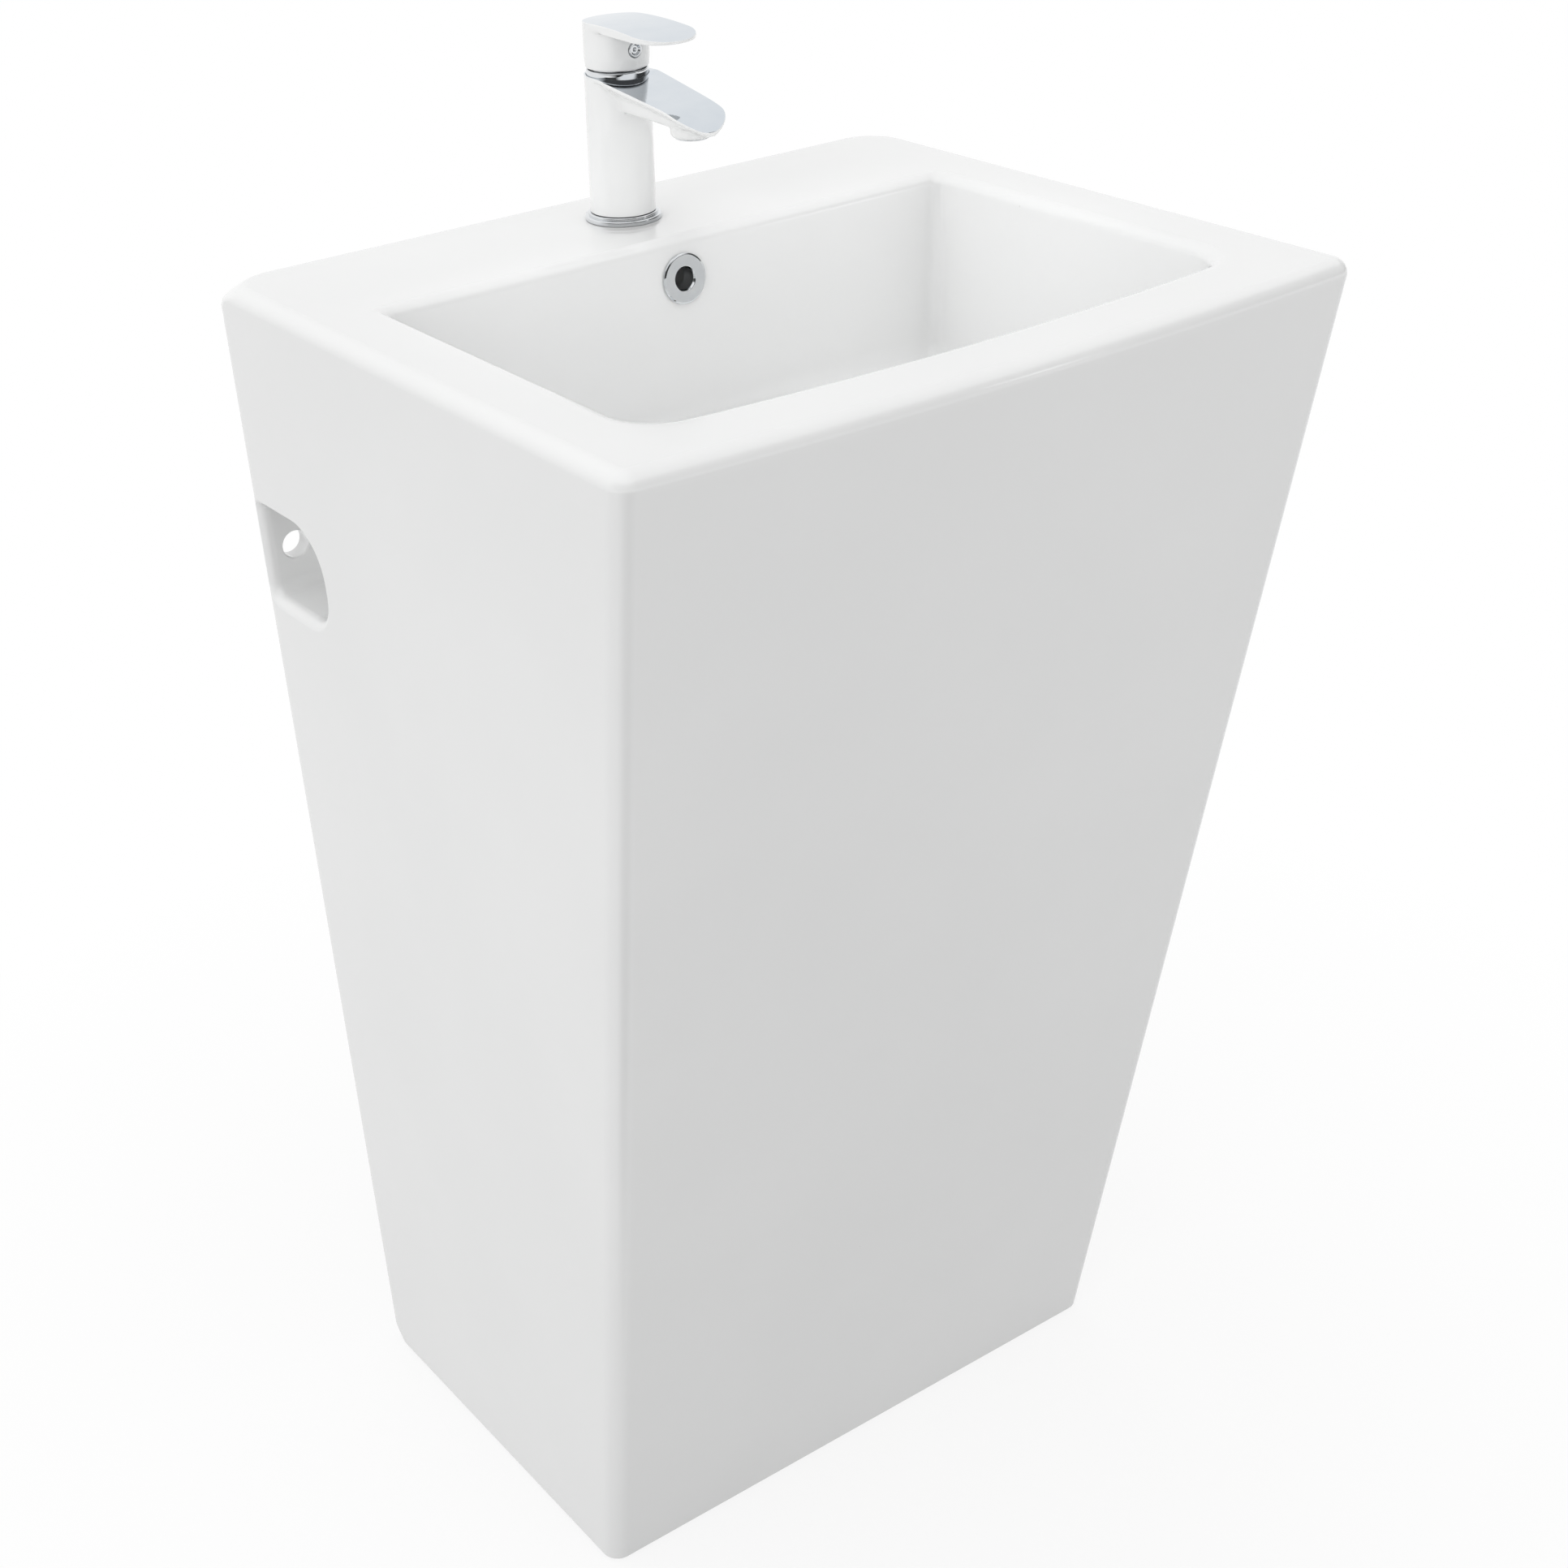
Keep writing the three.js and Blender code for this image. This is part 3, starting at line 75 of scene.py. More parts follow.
# ---------- sizes, as in the CAD
BASIN_LOW, BASIN_HIGH = node_box("basin_pedestal")
RIM = BASIN_HIGH.z
WALL = BASIN_HIGH.y
RIM_WIDTH = BASIN_HIGH.x - BASIN_LOW.x
RIM_BOW = 9
RIM_DEPTH = BASIN_HIGH.y - BASIN_LOW.y - RIM_BOW
FOOT_WIDTH = 443
FOOT_DEPTH = 303
UPRIGHT_RADIUS = 12
SOFT_RADIUS = 22  # the back corners' extra radius at the very top
FOOT_RADIUS = 10  # and at the foot
FOOT_SOFTENING = 14
RIM_EDGE = 10
FOOT_EDGE = 2
WIDEST = RIM - RIM_EDGE
SOFT_START = WIDEST - 4
SKIRT_WALL = 12
DECK_THICKNESS = 14
BOWL_WALL = 10
DUCT_WALL = 8
DUCT_WIDTH = 40
DUCT_GAP = 14
MOUTH_BACK = WALL - 124
MOUTH_FRONT = WALL - RIM_DEPTH + 49
MOUTH_HALF = RIM_WIDTH / 2 - 50
MOUTH_EDGE = 8
BOWL_DEPTH = 140
BOWL_DRAFT = math.radians(6)
BOWL_FALL = math.radians(5)
BOWL_EDGE = 28
MOUTH_CORNERS = (7, 34)  # back and front
BOWL_CORNERS = (9, 46)  # the same lower down
DRAIN = Vector((0, (MOUTH_BACK + MOUTH_FRONT) / 2, RIM - BOWL_DEPTH))
DRAIN_SEAT = 33
DRAIN_HOLE = 23
POCKET_HEIGHT = RIM - 178
POCKET_RADIUS = 35.5
POCKET_LENGTH = 90
POCKET_REACH = 48
POCKET_WALL = 9
FLANGE = 12
POCKET_EDGE = 3
POCKET_FLOOR = 6  # rise of the pocket's floor, for a softer edge along the sill
POCKET_SILL = 8
POCKET_FLANGE_EDGE = 9
POCKET_BOTTOM = 7
POCKET_CORNER = 8
WALL_HOLE_RADIUS = 9
WALL_HOLE_EDGE = 1.5
WALL_HOLE_INSET = 22
OVERFLOW_DROP = 26
OVERFLOW_HOLE = 11.5
OVERFLOW_RADIUS = 16
OVERFLOW_BORE = 7
OVERFLOW_TURN = Matrix.Rotation(math.radians(90) - BOWL_DRAFT, 4, "X")
SERVICE_HALF = 132
SERVICE_BOTTOM = 45
SERVICE_TOP = 628
SERVICE_CORNER = 40
SERVICE_EDGE = 4
OPEN_TURN = 86  # a rounded mouth stops just short of flush, in degrees
OVERCUT = 0.02  # and stands this far proud

TAP = node_axis("tap_base_ring")
TAP.z = RIM
TAP_RADIUS = 21
TAP_TOP = 91
TAP_HOLE = 17.5
TAP_HOLLOW = 17
TAP_JOIN = 35  # softened shell above, turned foot below
TAP_BORE = 19
SHANK_TOP = 46
PORT_TOP = 13.8
SLOPE = 0.14
SLOPE_START = 12
REACH = TAP.y - node_box("tap_body")[0].y
LIP_DROP = 8.6
LIP_CURVE = 13
ROOT_HALF = 22.9
SHOULDER = 20
TIP_HALF = 18.5
TIP_LENGTH = 15
TIP_CUT = 0.995
TIP_THICKNESS = 2.8
WEB_HEIGHT = 70.6
WEB_HALF = 11
NOSE_HEIGHT = 65.1
NOSE_RADIUS = 13.2
OUTLET = TAP.y - node_axis("aerator_housing").y
NOSE_START = OUTLET - NOSE_RADIUS
NOSE_END = OUTLET + NOSE_RADIUS
BLADE_RIM = 2.2
BLADE_ROOT = 4.4
BLADE_TAPER = 0.75
LEVER_BOTTOM = 95.5
LEVER_TOP = 124
LEVER_RADIUS = 20.6
LEVER_FOOT = 20
LEVER_FOOT_HEIGHT = 7
LEVER_REACH = 69
LEVER_HALF = 21.5
LEVER_CROWN = 14
LEVER_TIP_DROP = 4
LEVER_TIP_THICKNESS = 1.6
LEVER_ROOT_THICKNESS = 5
LEVER_EDGE = 0.9
LEVER_LOWER_EDGE = 0.6
LEVER_CAVITY = 18.6
LEVER_CAVITY_TOP = 102
PLUG_HEIGHT = 107.7
PLUG_RADIUS = 4.75
AERATOR_RADIUS = 11
AERATOR_WALL = 2.1
WASTE_RADIUS = 20.9
WASTE_WALL = 2.1
PIPE_RADIUS = 16
PIPE_BORE = 14.7
PIPE_HOLE = 16.3
NUT_RADIUS = 25
SEAT = 0.3
FILL_STEPS = 140  # smoothing rounds that fill the corners of the tap and the lever
POLISH = 0.35  # lacquer ground off the polished top faces
ABOVE_HALF = 42  # reach of the cutter above a polished top
ABOVE_TOP = 160
TO_WALL = Matrix.Rotation(math.radians(-90), 4, "X")  # turns a piece made along Z
TO_FRONT = Matrix.Rotation(math.radians(90), 4, "X")


# ---------- mesh helpers
def object_of(name, data):
    obj = bpy.data.objects.new(name, data)
    bpy.context.scene.collection.objects.link(obj)
    return obj


def set_all(thing, **settings):
    for key, value in settings.items():
        setattr(thing, key, value)


def object_from(name, bm):
    bmesh.ops.recalc_face_normals(bm, faces=bm.faces)
    mesh = bpy.data.meshes.new(name)
    bm.to_mesh(mesh)
    bm.free()
    return object_of(name, mesh)


def lofted(name, sections):
    """Closed skin over a stack of outlines that all have the same number of points."""
    bm = bmesh.new()
    rings = [[bm.verts.new(point) for point in section] for section in sections]
    for low, high in zip(rings, rings[1:]):
        for i in range(len(low)):
            j = (i + 1) % len(low)
            bm.faces.new((low[i], low[j], high[j], high[i]))
    bm.faces.new(list(reversed(rings[0])))
    bm.faces.new(rings[-1])
    return object_from(name, bm)


def rounded(corners, fillet, steps=FILLET):
    """Closed outline through 2-D corners, each rounded by fillet or by its own third value."""
    points = []
    count = len(corners)
    for i, corner in enumerate(corners):
        here = Vector(corner[:2])
        radius = corner[2] if len(corner) > 2 else fillet
        into = Vector(corners[i - 1][:2]) - here
        out = Vector(corners[(i + 1) % count][:2]) - here
        if radius == 0:
            points.append(here)
            continue
        half = into.angle(out) / 2
        reach = min(radius / math.tan(half), into.length * 0.499, out.length * 0.499)
        into.normalize()
        out.normalize()
        centre = here + (into + out).normalized() * (reach / math.cos(half))
        start = (here + into * reach - centre).normalized()
        end = (here + out * reach - centre).normalized()
        for step in range(steps + 1):
            points.append(centre + start.slerp(end, step / steps) * reach * math.tan(half))
    return points


def turned(name, corners, fillet=0.4, facets=ROUND, shape=None):
    """Solid of revolution about Z; corners on the axis close it, otherwise it is a ring."""
    corners = [corner if corner[0] > 0 else (*corner[:2], 0) for corner in corners]
    outline = rounded(corners, fillet)
    solid = any(point.x < 1e-6 for point in outline)
    bm = bmesh.new()
    rings = []
    for point in outline:
        if point.x < 1e-6:
            rings.append([bm.verts.new((0, 0, point.y))])
            continue
        ring = []
        for step in range(facets):
            angle = step / facets * 2 * math.pi
            radius = shape(point.x, point.y, angle) if shape else point.x
            ring.append(bm.verts.new((radius * math.cos(angle), radius * math.sin(angle), point.y)))
        rings.append(ring)
    pairs = list(zip(rings, rings[1:]))
    if not solid:
        pairs.append((rings[-1], rings[0]))
    for low, high in pairs:
        if len(low) == len(high) == 1:
            continue
        for i in range(facets):
            j = (i + 1) % facets
            around = (low[i % len(low)], low[j % len(low)], high[j % len(high)], high[i % len(high)])
            bm.faces.new(list(dict.fromkeys(around)))  # three corners at the axis
    return object_from(name, bm)


def disc(name, radius, bottom, top, facets=ROUND):
    return turned(name, [(0, bottom), (radius, bottom), (radius, top), (0, top)], 0, facets)


def block(name, low, high):
    bm = bmesh.new()
    bmesh.ops.create_cube(bm, size=1)
    middle = (Vector(low) + Vector(high)) / 2
    size = Vector(high) - Vector(low)
    for vert in bm.verts:
        vert.co = vert.co * size + middle
    return object_from(name, bm)


def moved(obj, offset=(0, 0, 0), turn=None):
    matrix = Matrix.Translation(offset)
    if turn:
        matrix = matrix @ turn
    obj.data.transform(matrix)
    return obj


def applied(obj):
    graph = bpy.context.evaluated_depsgraph_get()
    mesh = bpy.data.meshes.new_from_object(obj.evaluated_get(graph))
    old = obj.data
    obj.modifiers.clear()
    obj.data = mesh
    bpy.data.meshes.remove(old)
    return obj


def combined(base, others, operation="DIFFERENCE"):
    for other in others:
        step = base.modifiers.new("combine", "BOOLEAN")
        set_all(step, operation=operation, solver="MANIFOLD", object=other)
    applied(base)
    for other in others:
        mesh = other.data
        bpy.data.objects.remove(other)
        bpy.data.meshes.remove(mesh)
    return base


def melted(obj, voxel, smoothing, blending):
    """Remeshes a solid evenly, which softens its edges; blending weighs where its corners fill in."""
    set_all(obj.modifiers.new("even", "REMESH"), mode="VOXEL", voxel_size=voxel)
    applied(obj)
    group = obj.vertex_groups.new(name="blending")
    for vert in obj.data.vertices:
        group.add([vert.index], blending(vert.co), "REPLACE")
    fill = obj.modifiers.new("fill", "SMOOTH")
    set_all(fill, factor=0.5, iterations=FILL_STEPS, vertex_group="blending")
    set_all(obj.modifiers.new("soft", "SMOOTH"), factor=0.5, iterations=smoothing)
    applied(obj)
    obj.vertex_groups.clear()
    return obj


def finished(obj, *materials, chosen=0):
    """Gives a mesh its materials, and all its faces the chosen one."""
    obj.data.materials.clear()
    for material in materials:
        obj.data.materials.append(material)
    for face in obj.data.polygons:
        face.material_index = chosen


def placed(obj, body, slot, *nodes, sharp=40):
    """Hands a finished piece over: metres, smooth normals, the slot's material if it has none, and its body."""
    obj.data.transform(Matrix.Scale(MM, 4))
    if not any(obj.data.materials):
        finished(obj, FINISHES[slot])
    obj.data.shade_smooth()
    obj.data.set_sharp_from_angle(angle=math.radians(sharp))
    set_all(obj.modifiers.new("normals", "WEIGHTED_NORMAL"), keep_sharp=True)
    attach(obj, body)
    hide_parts(*nodes)
    return obj


# ---------- materials
def new_material(name):
    material = bpy.data.materials.new(name)
    material.use_nodes = True
    tree = material.node_tree
    return material, tree, tree.nodes["Principled BSDF"]


def put(tree, socket, value):
    """Links an output to an input, or sets the input."""
    if isinstance(value, bpy.types.NodeSocket):
        tree.links.new(value, socket)
    else:
        socket.default_value = value


def feed(tree, node, **values):
    """Fills a node; values are its inputs by name, with _ for a space, or its settings."""
    for key, value in values.items():
        label = key.replace("_", " ")
        if label in node.inputs:
            put(tree, node.inputs[label], value)
        else:
            setattr(node, key.lower(), value)
    return node


def add(tree, kind, **values):
    return feed(tree, tree.nodes.new(kind), **values)


def worked(tree, kind, operation, *values):
    """Math or VectorMath node on outputs and constants."""
    node = add(tree, kind, operation=operation)
    for socket, value in zip(node.inputs, values):
        put(tree, socket, value)
    return node


def maths(tree, operation, first, second):
    return worked(tree, "ShaderNodeMath", operation, first, second).outputs["Value"]


def vectors(tree, operation, *values):
    return worked(tree, "ShaderNodeVectorMath", operation, *values)


def place_of(tree, stretch=(1, 1, 1)):
    """Object coordinates in metres, stretched."""
    place = add(tree, "ShaderNodeTexCoord").outputs["Object"]
    return add(tree, "ShaderNodeMapping", Scale=stretch, Vector=place).outputs["Vector"]


def noise(tree, scale, detail=2.0, stretch=(1, 1, 1)):
    node = add(tree, "ShaderNodeTexNoise", Scale=scale, Detail=detail, Vector=place_of(tree, stretch))
    return node.outputs["Fac"]


def ranged(tree, value, low, high, start=0.3, end=0.7):
    limits = {"From_Min": start, "From_Max": end, "To_Min": low, "To_Max": high}
    return add(tree, "ShaderNodeMapRange", Value=value, **limits).outputs["Result"]


def between(tree, factor, first, second):
    """Colour between two colours, each a colour output or three numbers."""
    node = add(tree, "ShaderNodeMix", data_type="RGBA", Factor=factor)
    colour_inputs = [socket for socket in node.inputs if socket.type == "RGBA"]
    for socket, colour in zip(colour_inputs, (first, second)):
        put(tree, socket, (*colour, 1) if isinstance(colour, tuple) else colour)
    return next(socket for socket in node.outputs if socket.type == "RGBA")


def bump(tree, height, strength, distance):
    return add(tree, "ShaderNodeBump", Strength=strength, Distance=distance, Height=height).outputs["Normal"]


def specks(tree, cell, share, radius):
    """1 inside a few tiny round specks, one at most in each cell."""
    cells = add(tree, "ShaderNodeTexVoronoi", Scale=1 / cell, Vector=place_of(tree))
    near = ranged(tree, cells.outputs["Distance"], 0, 1, radius / cell, 0)
    parts = add(tree, "ShaderNodeSeparateColor", Color=cells.outputs["Color"])
    return maths(tree, "MULTIPLY", near, maths(tree, "LESS_THAN", parts.outputs["Red"], share))


def glaze_material():
    material, tree, shader = new_material("sanitary_glaze")
    cloud = ranged(tree, noise(tree, 6, 3), 0, 1)
    body = between(tree, cloud, (0.885, 0.889, 0.887), (0.910, 0.913, 0.911))
    speck = ranged(tree, specks(tree, 0.03, 0.10, 0.0007), 0, 0.5, 0, 1)
    feed(tree, shader, Base_Color=between(tree, speck, body, (0.45, 0.42, 0.38)))
    feed(tree, shader, Roughness=ranged(tree, noise(tree, 60, 3), 0.07, 0.13))
    feed(tree, shader, Normal=bump(tree, noise(tree, 14, 1), 0.12, 0.002), Coat_Weight=0.5, Coat_Roughness=0.04)
    return material


def surface(name, dark, light, clouds, rough, relief, stretch=(1, 1, 1), **constants):
    """Cloudy material; clouds, rough and relief each start with their noise's scale and detail."""
    material, tree, shader = new_material(name)
    cloud = ranged(tree, noise(tree, *clouds, stretch), 0, 1)
    feed(tree, shader, Base_Color=between(tree, cloud, dark, light), **constants)
    if rough:
        feed(tree, shader, Roughness=ranged(tree, noise(tree, *rough[:2], stretch), *rough[2:]))
    feed(tree, shader, Normal=bump(tree, noise(tree, *relief[:2], stretch), *relief[2:]))
    return material


def metal(name, dim, bright, levels, grain, stretch=(1, 1, 1), strength=0.1):
    relief = (grain, 2, strength, 0.0002)
    return surface(name, dim, bright, (80, 3), (grain, 3, *levels), relief, stretch, Metallic=1)


def dull(name, dark, light, levels, grain, strength=0.15):
    return surface(name, dark, light, (60, 4), (grain / 3, 2, *levels), (grain, 3, strength, 0.0003))


GLAZE = glaze_material()
BISQUE = surface(
    "unglazed_ceramic", (0.66, 0.62, 0.56), (0.78, 0.75, 0.70), (22, 5), None, (900, 4, 0.4, 0.0004),
    Roughness=0.85)
LACQUER = surface(
    "white_lacquer", (0.885, 0.890, 0.888), (0.905, 0.910, 0.908), (30, 2), (200, 2, 0.08, 0.14),
    (700, 1, 0.06, 0.0003), Coat_Weight=0.7, Coat_Roughness=0.03)
POLISHED = metal("polished_top", (0.645, 0.690, 0.735), (0.675, 0.715, 0.755), (0.02, 0.05), 300, strength=0.01)
FINISHES = {
    "glaze": GLAZE,
    "white_lacquer": LACQUER,
    "chrome": metal("chrome", (0.70, 0.72, 0.74), (0.76, 0.775, 0.79), (0.03, 0.06), 300, strength=0.02),
    "steel": metal("steel", (0.50, 0.52, 0.54), (0.62, 0.64, 0.66), (0.25, 0.40), 500, (1, 1, 6)),
    "brass": metal("brass", (0.52, 0.37, 0.15), (0.66, 0.49, 0.23), (0.22, 0.38), 400, (1, 1, 8)),
    "rubber": dull("rubber", (0.022, 0.022, 0.024), (0.040, 0.040, 0.042), (0.55, 0.75), 1500, 0.3),
    "grey_plastic": dull("grey_plastic", (0.42, 0.44, 0.46), (0.48, 0.50, 0.52), (0.40, 0.55), 1200),
    "white_plastic": dull("white_plastic", (0.78, 0.78, 0.765), (0.83, 0.83, 0.82), (0.22, 0.34), 900, 0.08),
    "alumina": dull("alumina", (0.78, 0.75, 0.68), (0.84, 0.81, 0.74), (0.15, 0.25), 700, 0.05),
}


# ---------- ceramic body
def lerp(first, second, share):
    return first + (second - first) * share


def arc(facets, degrees=90, first=0, start=0):
    """Sine and cosine at even steps along an arc."""
    angles = [math.radians(start + degrees * step / facets) for step in range(first, facets + 1)]
    return [(math.sin(angle), math.cos(angle)) for angle in angles]


def smoothstep(value, low, high):
    share = min(max((value - low) / (high - low), 0), 1)
    return share * share * (3 - 2 * share)


def taper_share(height):
    """Height within the tapering part of the body, as a share of it."""
    return min(height / WIDEST, 1)


def plan_outline(height, half, back, front, bow, corners):
    """Outline in plan with two pairs of corner radii and a bowed front edge."""
    back_radius, front_radius = corners
    points = []

    def corner(x, y, radius, start):
        for sin, cos in arc(CORNER, start=start):
            points.append(Vector((x + radius * cos, y + radius * sin, height)))

    def side(start, end, facets, bulge=0):
        for step in range(1, facets):
            share = step / facets
            x, y = lerp(start[0], end[0], share), lerp(start[1], end[1], share)
            points.append(Vector((x, y - 4 * bulge * share * (1 - share), height)))

    front_x = half - front_radius
    back_x = half - back_radius
    front_y = front + front_radius
    back_y = back - back_radius
    corner(-front_x, front_y, front_radius, 180)
    side((-front_x, front), (front_x, front), 32, bow)
    corner(front_x, front_y, front_radius, 270)
    side((half, front_y), (half, back_y), 16)
    corner(back_x, back_y, back_radius, 0)
    side((back_x, back), (-back_x, back), 16)
    corner(-back_x, back_y, back_radius, 90)
    side((-half, back_y), (-half, front_y), 16)
    return points


def half_width(height):
    """Half width of the tapered body at a height."""
    return lerp(FOOT_WIDTH, RIM_WIDTH, taper_share(height)) / 2


def skirt_section(height, inset, shown=None):
    rise = taper_share(height)
    radius = max(UPRIGHT_RADIUS - inset, 1)
    soft = SOFT_RADIUS * smoothstep(height, SOFT_START, RIM)
    soft += FOOT_RADIUS * (1 - smoothstep(height, 0, FOOT_SOFTENING))
    front = WALL - lerp(FOOT_DEPTH, RIM_DEPTH, rise) + inset
    half = half_width(height) - inset
    level = height if shown is None else shown
    return plan_outline(level, half, WALL - inset, front, RIM_BOW * rise, (radius + soft, radius))


def pedestal_blank():
    sections = [skirt_section(FOOT_EDGE * (1 - cos), FOOT_EDGE * (1 - sin)) for sin, cos in arc(FILLET)]
    sections += [skirt_section(lerp(FOOT_EDGE, FOOT_SOFTENING, step / 5), 0) for step in range(1, 6)]
    sections += [skirt_section(lerp(FOOT_SOFTENING, SOFT_START, step / 11), 0) for step in range(1, 12)]
    sections += [skirt_section(WIDEST + RIM_EDGE * sin, RIM_EDGE * (1 - cos)) for sin, cos in arc(CORNER)]
    return lofted("basin", sections)


def bowl_inset(height):
    """How far the bowl's sloping wall has come in at a height."""
    return math.tan(BOWL_DRAFT) * (RIM - MOUTH_EDGE - height)


def bowl_section(height, inset, share):
    corners = [lerp(upper, lower, share) for upper, lower in zip(MOUTH_CORNERS, BOWL_CORNERS)]
    back, front = MOUTH_BACK - inset, MOUTH_FRONT + inset
    return plan_outline(height, MOUTH_HALF - inset, back, front, RIM_BOW * (1 - share), corners)


def bowl_form(grow):
    """The bowl's hollow, or with grow the shell round it."""
    fall = math.tan(BOWL_FALL) * (MOUTH_HALF - DRAIN_SEAT) / 2
    floor_edge = RIM - BOWL_DEPTH + BOWL_EDGE + fall
    wall_inset = bowl_inset(floor_edge)
    radius = BOWL_EDGE + grow
    sections = []
    for step in range(CORNER, -1, -1):
        angle = lerp(BOWL_DRAFT, math.pi / 2 - BOWL_FALL, step / CORNER)
        inset = wall_inset - grow + radius * (math.cos(BOWL_DRAFT) - math.cos(angle))
        height = floor_edge - radius * (math.sin(angle) - math.sin(BOWL_DRAFT))
        sections.append(bowl_section(height, inset, 1))
    edge = sections[0]
    seat = []
    for point in edge:
        away = Vector((point.x - DRAIN.x, point.y - DRAIN.y)).normalized() * DRAIN_SEAT
        seat.append(Vector((DRAIN.x + away.x, DRAIN.y + away.y, DRAIN.z - grow)))
    floor = [[inner.lerp(outer, step / 6) for inner, outer in zip(seat, edge)] for step in range(6)]
    sections = floor + sections
    if grow:
        return lofted("bowl_shell", [*sections, bowl_section(RIM, -grow, 0)])
    for step in range(1, 8):
        height = lerp(floor_edge, RIM - MOUTH_EDGE, step / 8)
        sections.append(bowl_section(height, bowl_inset(height), 1 - step / 8))
    for sin, cos in reversed(arc(CORNER)):
        sections.append(bowl_section(RIM - MOUTH_EDGE * (1 - cos), -MOUTH_EDGE * (1 - sin), 0))
    return lofted("bowl", [*sections, bowl_section(RIM + 1, -MOUTH_EDGE, 0)])


def pocket_outline(grow):
    """The pocket's outline seen from the side, grown outwards, as (y, z)."""
    back = WALL - FLANGE + grow
    front = WALL - POCKET_LENGTH - grow
    upper, lower = POCKET_RADIUS + grow, POCKET_RADIUS + grow - POCKET_FLOOR
    low, high = POCKET_HEIGHT - lower, POCKET_HEIGHT + upper
    inner = POCKET_CORNER + grow
    return rounded([(back, low, inner), (back, high, inner), (front, high, upper), (front, low, lower)], 0, CORNER)


def pocket_edge(y, z):
    """Radius of the mouth's rounded edge, wide at the sill and at the flange."""
    top = lerp(POCKET_EDGE, POCKET_FLANGE_EDGE, smoothstep(y, WALL - FLANGE - 6, WALL - FLANGE))
    sill = POCKET_HEIGHT - POCKET_RADIUS + POCKET_FLOOR
    return lerp(POCKET_SILL, top, smoothstep(z, sill, sill + 32))


def pocket_form(side):
    """Side pocket with a rounded bottom and a rounded mouth that follows the sloping face."""
    inner = half_width(POCKET_HEIGHT) - POCKET_REACH
    sections = []
    for sin, cos in arc(FILLET):
        outline = pocket_outline(-POCKET_BOTTOM * (1 - sin))
        sections.append([Vector((side * (inner + POCKET_BOTTOM * (1 - cos)), y, z)) for y, z in outline])
    mouth = [(edge, grown - edge) for edge, grown in zip(pocket_outline(0), pocket_outline(1))]
    for sin, cos in arc(2 * FILLET, OPEN_TURN):
        section = []
        for edge, outward in mouth:
            radius = pocket_edge(*edge)
            y, z = edge + outward * radius * (1 - cos)
            depth = radius * (1 - sin) - OVERCUT
            section.append(Vector((side * (half_width(z) - depth), y, z)))
        sections.append(section)
    section = []
    for edge, outward in mouth:
        y, z = edge + outward * (pocket_edge(*edge) + 1)
        section.append(Vector((side * (half_width(z) + 4), y, z)))
    return lofted("pocket", [*sections, section])


def pocket_shell(side):
    inner = half_width(POCKET_HEIGHT) - POCKET_REACH - POCKET_WALL
    radius = POCKET_RADIUS + POCKET_WALL
    low, high = POCKET_HEIGHT - radius, POCKET_HEIGHT + radius
    back, front = WALL + 1, WALL - POCKET_LENGTH - POCKET_WALL
    outline = rounded([(back, low, 0), (back, high, 0), (front, high, radius), (front, low, radius)], 0, CORNER)
    ends = (inner, RIM_WIDTH / 2 - 1)
    return lofted("pocket_shell", [[Vector((side * x, y, z)) for y, z in outline] for x in ends])


def flared_bar(name, radius, near, far, edge):
    """Round cutter along +Y whose near mouth widens by a rounded edge."""
    corners = [(0, near - 1), (radius + edge, near - 1)]
    corners += [(radius + edge * (1 - sin), near + edge * (1 - cos)) for sin, cos in arc(FILLET)]
    corners += [(radius, far), (0, far)]
    return moved(turned(name, corners, 0, 64), turn=TO_WALL)


def service_opening():
    """Opening in the back with a rounded outer edge."""
    sections = [(0, WALL - SKIRT_WALL - 1)]
    for sin, cos in arc(FILLET, OPEN_TURN):
        sections.append((SERVICE_EDGE * (1 - cos), WALL - SERVICE_EDGE * (1 - sin) + OVERCUT))
    sections.append((SERVICE_EDGE + 1, WALL + 3))
    rings = []
    for grow, y in sections:
        x, low, high = SERVICE_HALF + grow, SERVICE_BOTTOM - grow, SERVICE_TOP + grow
        outline = rounded([(-x, low), (x, low), (x, high), (-x, high)], SERVICE_CORNER + grow, CORNER)
        rings.append([Vector((point.x, y, point.y)) for point in outline])
    return lofted("service_opening", rings)


def overflow_place():
    """Middle of the overflow hole, on the bowl's back wall."""
    height = RIM - OVERFLOW_DROP
    return Vector((0, MOUTH_BACK - bowl_inset(height), height))


def duct_blocks(grow, name):
    """Upright overflow duct behind the bowl, and its run under the bowl's floor."""
    half = DUCT_WIDTH / 2 + grow
    front = MOUTH_BACK + BOWL_WALL
    back = front + DUCT_GAP + grow
    floor = DRAIN.z - BOWL_WALL - DUCT_GAP - (BOWL_WALL if grow else 0)
    under = DRAIN.z - (0 if grow else BOWL_WALL)
    upright = block(name, (-half, front - grow, floor), (half, back, RIM - DECK_THICKNESS + SEAT))
    return combined(upright, [block("run", (-half, DRAIN.y, floor), (half, back, under))], "UNION")


def drain_hollow():
    under = -BOWL_WALL - DUCT_GAP
    foot = under - BOWL_WALL - 1
    corners = [
        (0, foot), (DRAIN_HOLE, foot), (DRAIN_HOLE, under), (DRAIN_SEAT, under), (DRAIN_SEAT, -BOWL_WALL),
        (DRAIN_HOLE, -BOWL_WALL), (DRAIN_HOLE, -2), (DRAIN_SEAT, -2), (DRAIN_SEAT, 1), (0, 1),
    ]
    return moved(turned("drain_hollow", corners, 0), DRAIN)


